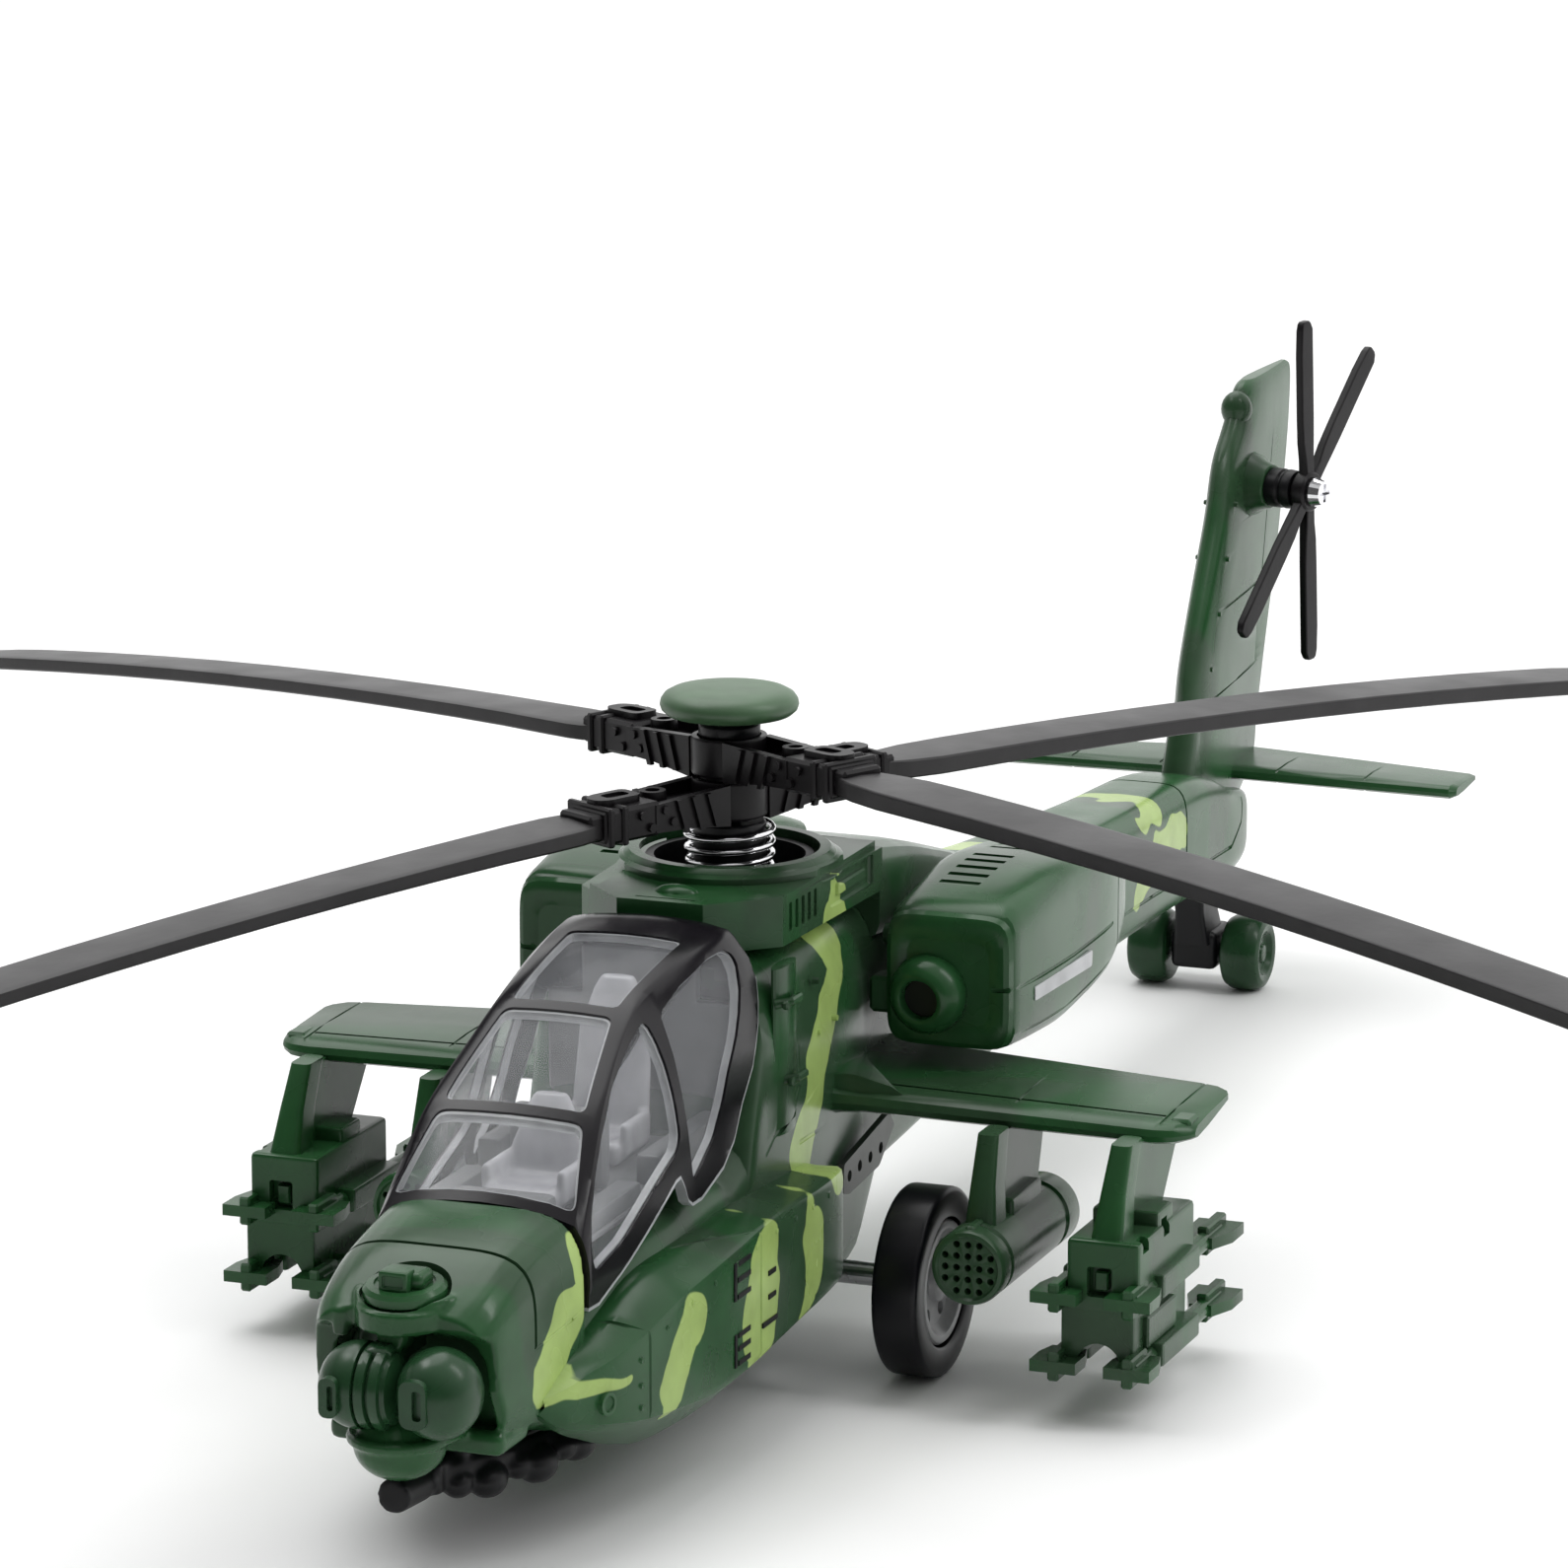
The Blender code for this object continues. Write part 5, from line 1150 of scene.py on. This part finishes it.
def arm():
    """One blade arm along +X: upright flanges with bolts and diagonal webs, deeper at the neck."""
    parts = []
    for y in (-2.75, 2.75):
        parts.append(plate(((2.6, -2.3), (2.6, 1.9), (12.4, 1.5), (12.4, -1.4), (8, -1.6)), 0.9, "XZ", y))
        for x in (4.2, 6.2, 8.2):
            web = ((x, -1.9), (x + 0.6, -1.9), (x + 1.7, 1.6), (x + 1.1, 1.6))
            parts.append(plate(web, 0.5, "XZ", y * 1.2))
    parts.append(box((2.6, -2.7, -0.9), (12.4, 2.7, 0.6), 0.3, 1))
    parts.append(box((11.6, -3.1, -1.7), (18.8, 3.1, 1.8), 0.35, 1))
    parts += [box((x, -3.4, -1.95), (x + 0.8, 3.4, 2.05), 0.2, 1) for x in (16, 17.8)]
    parts.append(box((18, -2.5, -1.3), (20.4, 2.5, 1.4), 0.3, 1))
    pad = ((12.8, -1.6), (17, -1.6), (18.2, -0.9), (18.2, 0.9), (17, 1.6), (12.8, 1.6))
    parts += [plate(rounded(pad, 0.9), 1, "XY", 2), rod((10.2, 0, 0.4), (10.2, 0, 2.2), 1.5, 1.35, 28)]
    for x, z in ((10.2, -0.5), (11.2, 0.8), (14.2, 0.7), (13, -0.7)):
        parts += [rod((x, y * 2.4, z), (x, y * 3.5, z), 0.55, 0.45, 14) for y in (-1, 1)]
    return parts


def about_mast(shapes, flip):
    for bm in shapes:
        bm.transform(Matrix.Rotation(flip, 4, "Z"))
    return shapes


def make_blade_bar(name, turn, height, tilt):
    """Two blades on boxy arms that meet in a ring round the hub."""
    neck = ((3.3, -1.9), (3.8, -1.9), (3.95, -1.6), (3.95, 1.7), (3.8, 2), (3.3, 2))
    bar = link_mesh(name + "_visible", turned(neck))
    for flip in (0, math.pi):
        fuse(bar, *about_mast(arm(), flip))
        cut(bar, *about_mast([plate(panel(13.6, 16.6, -0.8, 0.8, 0.7), 0.9, "XY", 2.6),
                              rod((10.2, 0, 1.7), (10.2, 0, 3), 0.75, segments=20)], flip))
    cut(bar, rod((0, 0, -4), (0, 0, 4), 3.3, segments=48))
    matrix = Matrix.Translation((0, 0, height)) @ Matrix.Rotation(turn, 4, "Z") @ Matrix.Rotation(tilt, 4, "Y")
    bar.data.transform(matrix)
    finish(bar, "cuff", "main_rotor", bevel=0.1, angle=32)
    for number, flip in enumerate((0, math.pi), start=1):
        vane = link_mesh(f"{name}_vane_{number}", *about_mast([blade()], flip))
        for y in (-1.9, -1.2):
            cut(vane, *about_mast([rod((20.9, y, 1.05), (27, y * 1.2, 0.75), 0.14, segments=8)], flip))
        vane.data.transform(matrix)
        finish(vane, "blade", "main_rotor", bevel=0.12, angle=30)


SPRING_FOOT, SPRING_TOP, SPRING_PITCH, COIL_STEPS = 47.55, 54.9, 1.32, 28


def make_spring():
    steps = int((SPRING_TOP - SPRING_FOOT) / SPRING_PITCH * COIL_STEPS)
    coil = bpy.data.curves.new("coil", "CURVE")
    coil.dimensions = "3D"
    coil.bevel_depth = 0.32
    coil.bevel_resolution = 4
    coil.use_fill_caps = True
    spline = coil.splines.new("POLY")
    spline.points.add(steps)
    for step, point in enumerate(spline.points):
        angle = TAU * step / COIL_STEPS
        height = SPRING_FOOT + SPRING_PITCH * step / COIL_STEPS
        point.co = (4.4 * math.cos(angle), 4.4 * math.sin(angle), height, 1)
    holder = put("coil", coil)
    depsgraph = bpy.context.evaluated_depsgraph_get()
    spring = put("spring_coil", bpy.data.meshes.new_from_object(holder.evaluated_get(depsgraph)))
    bpy.data.objects.remove(holder)
    finish(spring, "chrome", "airframe", ("mast_spring",), angle=60, weighted=False)
    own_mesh(spring)


MAST_PROFILE = (
    (0, 63.4), (1.2, 63.4), (1.2, 55.1), (3.5, 55.1), (3.7, 54.9), (3.7, 50.4), (3.5, 50.2), (2, 50.2), (2, 36),
    (0, 36),
)
HUB_PROFILE = (
    (0, 65.4), (2.6, 65.4), (3.15, 65), (3.15, 64), (2.7, 63.6), (3.15, 63.2), (3.15, 55.6), (3, 55.4),
    (1.5, 55.4), (1.5, 63.8), (0, 63.8),
)
DISC_PROFILE = (
    (0, 68.75), (3.4, 68.74), (5, 68.66), (5.9, 68.48), (6.6, 68.1), (6.95, 67.6), (7.06, 67.1), (6.9, 66.6),
    (6.4, 66.15), (5.4, 65.9), (4.2, 65.65), (0, 65.6),
)


def make_rotor():
    finish(link_mesh("mast_visible", turned(MAST_PROFILE, steps=40)), "black", "rotor_mast", bevel=0.06)
    make_spring()
    finish(link_mesh("rotor_hub_visible", turned(HUB_PROFILE)), "black", "main_rotor", bevel=0.08)
    disc = link_mesh("top_disc_visible", turned(DISC_PROFILE, steps=72))
    finish(disc, "disc_green", "main_rotor", angle=50, weighted=False)
    # The bars cross at right angles, turned away from the body's axis, and each leans a little.
    zero = math.radians(-28) - math.pi / 2
    make_blade_bar("blade_bar_lower", zero + math.pi, LOWER_BAR_Z, -math.radians(0.7))
    make_blade_bar("blade_bar_upper", zero + math.pi / 2, UPPER_BAR_Z, -math.radians(1.3))


# ------------------------------------------------------------------ wheels and inner parts

TYRE = (
    (6.7, 2.2), (7, 2.42), (9.2, 2.42), (9.5, 2.34), (9.7, 2.12), (9.76, 1.8), (9.76, -1.8), (9.7, -2.12),
    (9.5, -2.34), (9.2, -2.42), (7, -2.42), (6.7, -2.2),
)
RIM = (
    (0, 1.9), (1.5, 1.9), (2, 1.7), (2.2, 1.1), (3, 0.9), (4.6, 1), (5.2, 1.6), (5.5, 2.1), (6.2, 2.15),
    (6.42, 1.9), (6.42, -2.1), (1.5, -2.1), (1.5, 0), (0, 0),
)
TAIL_WHEEL = (
    (0, 2.1), (1, 2.1), (1.2, 1.7), (2.3, 1.7), (2.7, 2.3), (3.5, 2.48), (4.1, 2.2), (4.5, 1.5), (4.6, 0.6),
    (4.6, -0.6), (4.5, -1.5), (4.1, -2.2), (3.5, -2.48), (1.14, -2.48), (1.14, 0.8), (0, 0.8),
)


def make_wheels():
    for label, side in SIDES:
        x, y, z = middle = (side * 22.43, *MAIN_AXLE)
        axis = (side, 0, 0)
        tyre = link_mesh(f"tyre_{label}_visible", turned(TYRE, middle, axis, 96))
        finish(tyre, "tyre", "main_wheels", angle=50, weighted=False)
        rim = link_mesh(f"hub_{label}_visible", turned(RIM, middle, axis, 64))
        holes = []
        for step in range(6):
            hole = (y + 3.8 * math.cos(TAU * step / 6), z + 3.8 * math.sin(TAU * step / 6))
            holes.append(rod((x + side * 0.2, *hole), (x + side * 2.4, *hole), 0.75, segments=20))
        cut(rim, merge(*holes))
        finish(rim, "rim", "main_wheels", bevel=0.1)
        wheel = link_mesh(f"tail_wheel_{label}_visible", turned(TAIL_WHEEL, (side * 5.9, *TAIL_AXLE), axis, 64))
        finish(wheel, "tail_green", "rear_wheels", bevel=0.08)


# ------------------------------------------------------------------ stage

def lamp(name, kind, energy, place, aim=(0, 0, 0), **settings):
    light = bpy.data.lights.new(name, kind)
    light.energy = energy
    for key, value in settings.items():
        setattr(light, key, value)
    holder = put(name, light)
    holder.rotation_euler = (Vector(aim) - Vector(place)).to_track_quat("-Z", "Y").to_euler()
    return holder


def make_stage():
    bm = bmesh.new()
    bmesh.ops.create_grid(bm, x_segments=1, y_segments=1, size=3.0)
    floor = link_mesh("floor", bm)
    paper = Shader("paper", (0.93, 0.93, 0.93), 0.6)
    floor.data.materials.append(paper.finish(30, 0.55, 0.65, 60, 0.02))

    # A room that is bright above and behind, dim on the viewer's side.
    world = bpy.data.worlds.new("studio")
    bpy.context.scene.world = world
    world.use_nodes = True
    room = Tree(world.node_tree)
    where = room.node("ShaderNodeTexCoord").outputs["Generated"]
    towards = room.vector("DOT_PRODUCT", where, (0.15, 0.72, 0.68))
    strength = room.ramp(towards, -0.25, 0.75, 0.09, 1.15)
    room.fill(room.tree.nodes["Background"], Color=(1, 1, 1, 1), Strength=strength)
    bpy.context.scene.view_settings.view_transform = "Standard"
    lamp("sky", "SUN", 1.15, (-0.35, 0.35, 1), angle=math.radians(50))
    for name, place, wide, tall in (("key", (-0.40, -0.10, 0.75), 0.30, 0.20),
                                    ("streak", (0.42, 0.05, 0.50), 0.08, 0.40)):
        strip = lamp(name, "AREA", 0.8, place, (0, 0, 0.03), shape="RECTANGLE", size=wide, size_y=tall)
        strip.location = place

    camera = bpy.data.cameras.new("camera")
    camera.sensor_width = 36.0
    camera.lens = 174.43
    camera.shift_x = -0.01113
    camera.shift_y = 0.02597
    camera.clip_start = 0.05
    camera.clip_end = 20.0
    holder = put("camera", camera)
    holder.location = (0.27196, -0.73555, 0.22945)
    holder.rotation_euler = (math.radians(90 - 13.14), 0, math.radians(20.72))
    bpy.context.scene.camera = holder


make_fuselage()
make_nose()
make_turret()
make_sensor()
make_gun()
make_canopy()
make_deck()
for LABEL, SIDE in SIDES:
    make_sponson(LABEL, SIDE)
    make_nacelle(LABEL, SIDE)
    make_wing(LABEL, SIDE)
    make_pod(LABEL, SIDE)
    make_rack(LABEL, SIDE)
    make_bracket(LABEL, SIDE)
make_fin()
make_stabilizer()
make_tail_rotor()
make_carrier()
make_rotor()
make_wheels()
keep_cad("steel", "main_axle", "tail_axle", "button_cell_1", "button_cell_2", "button_cell_3",
         "body_screw_port", "body_screw_starboard")
keep_cad("black", "speaker", "switch_body")
keep_cad("board", "circuit_board")
keep_cad("green", "battery_door")
keep_cad("grey", "switch_plunger")
make_stage()
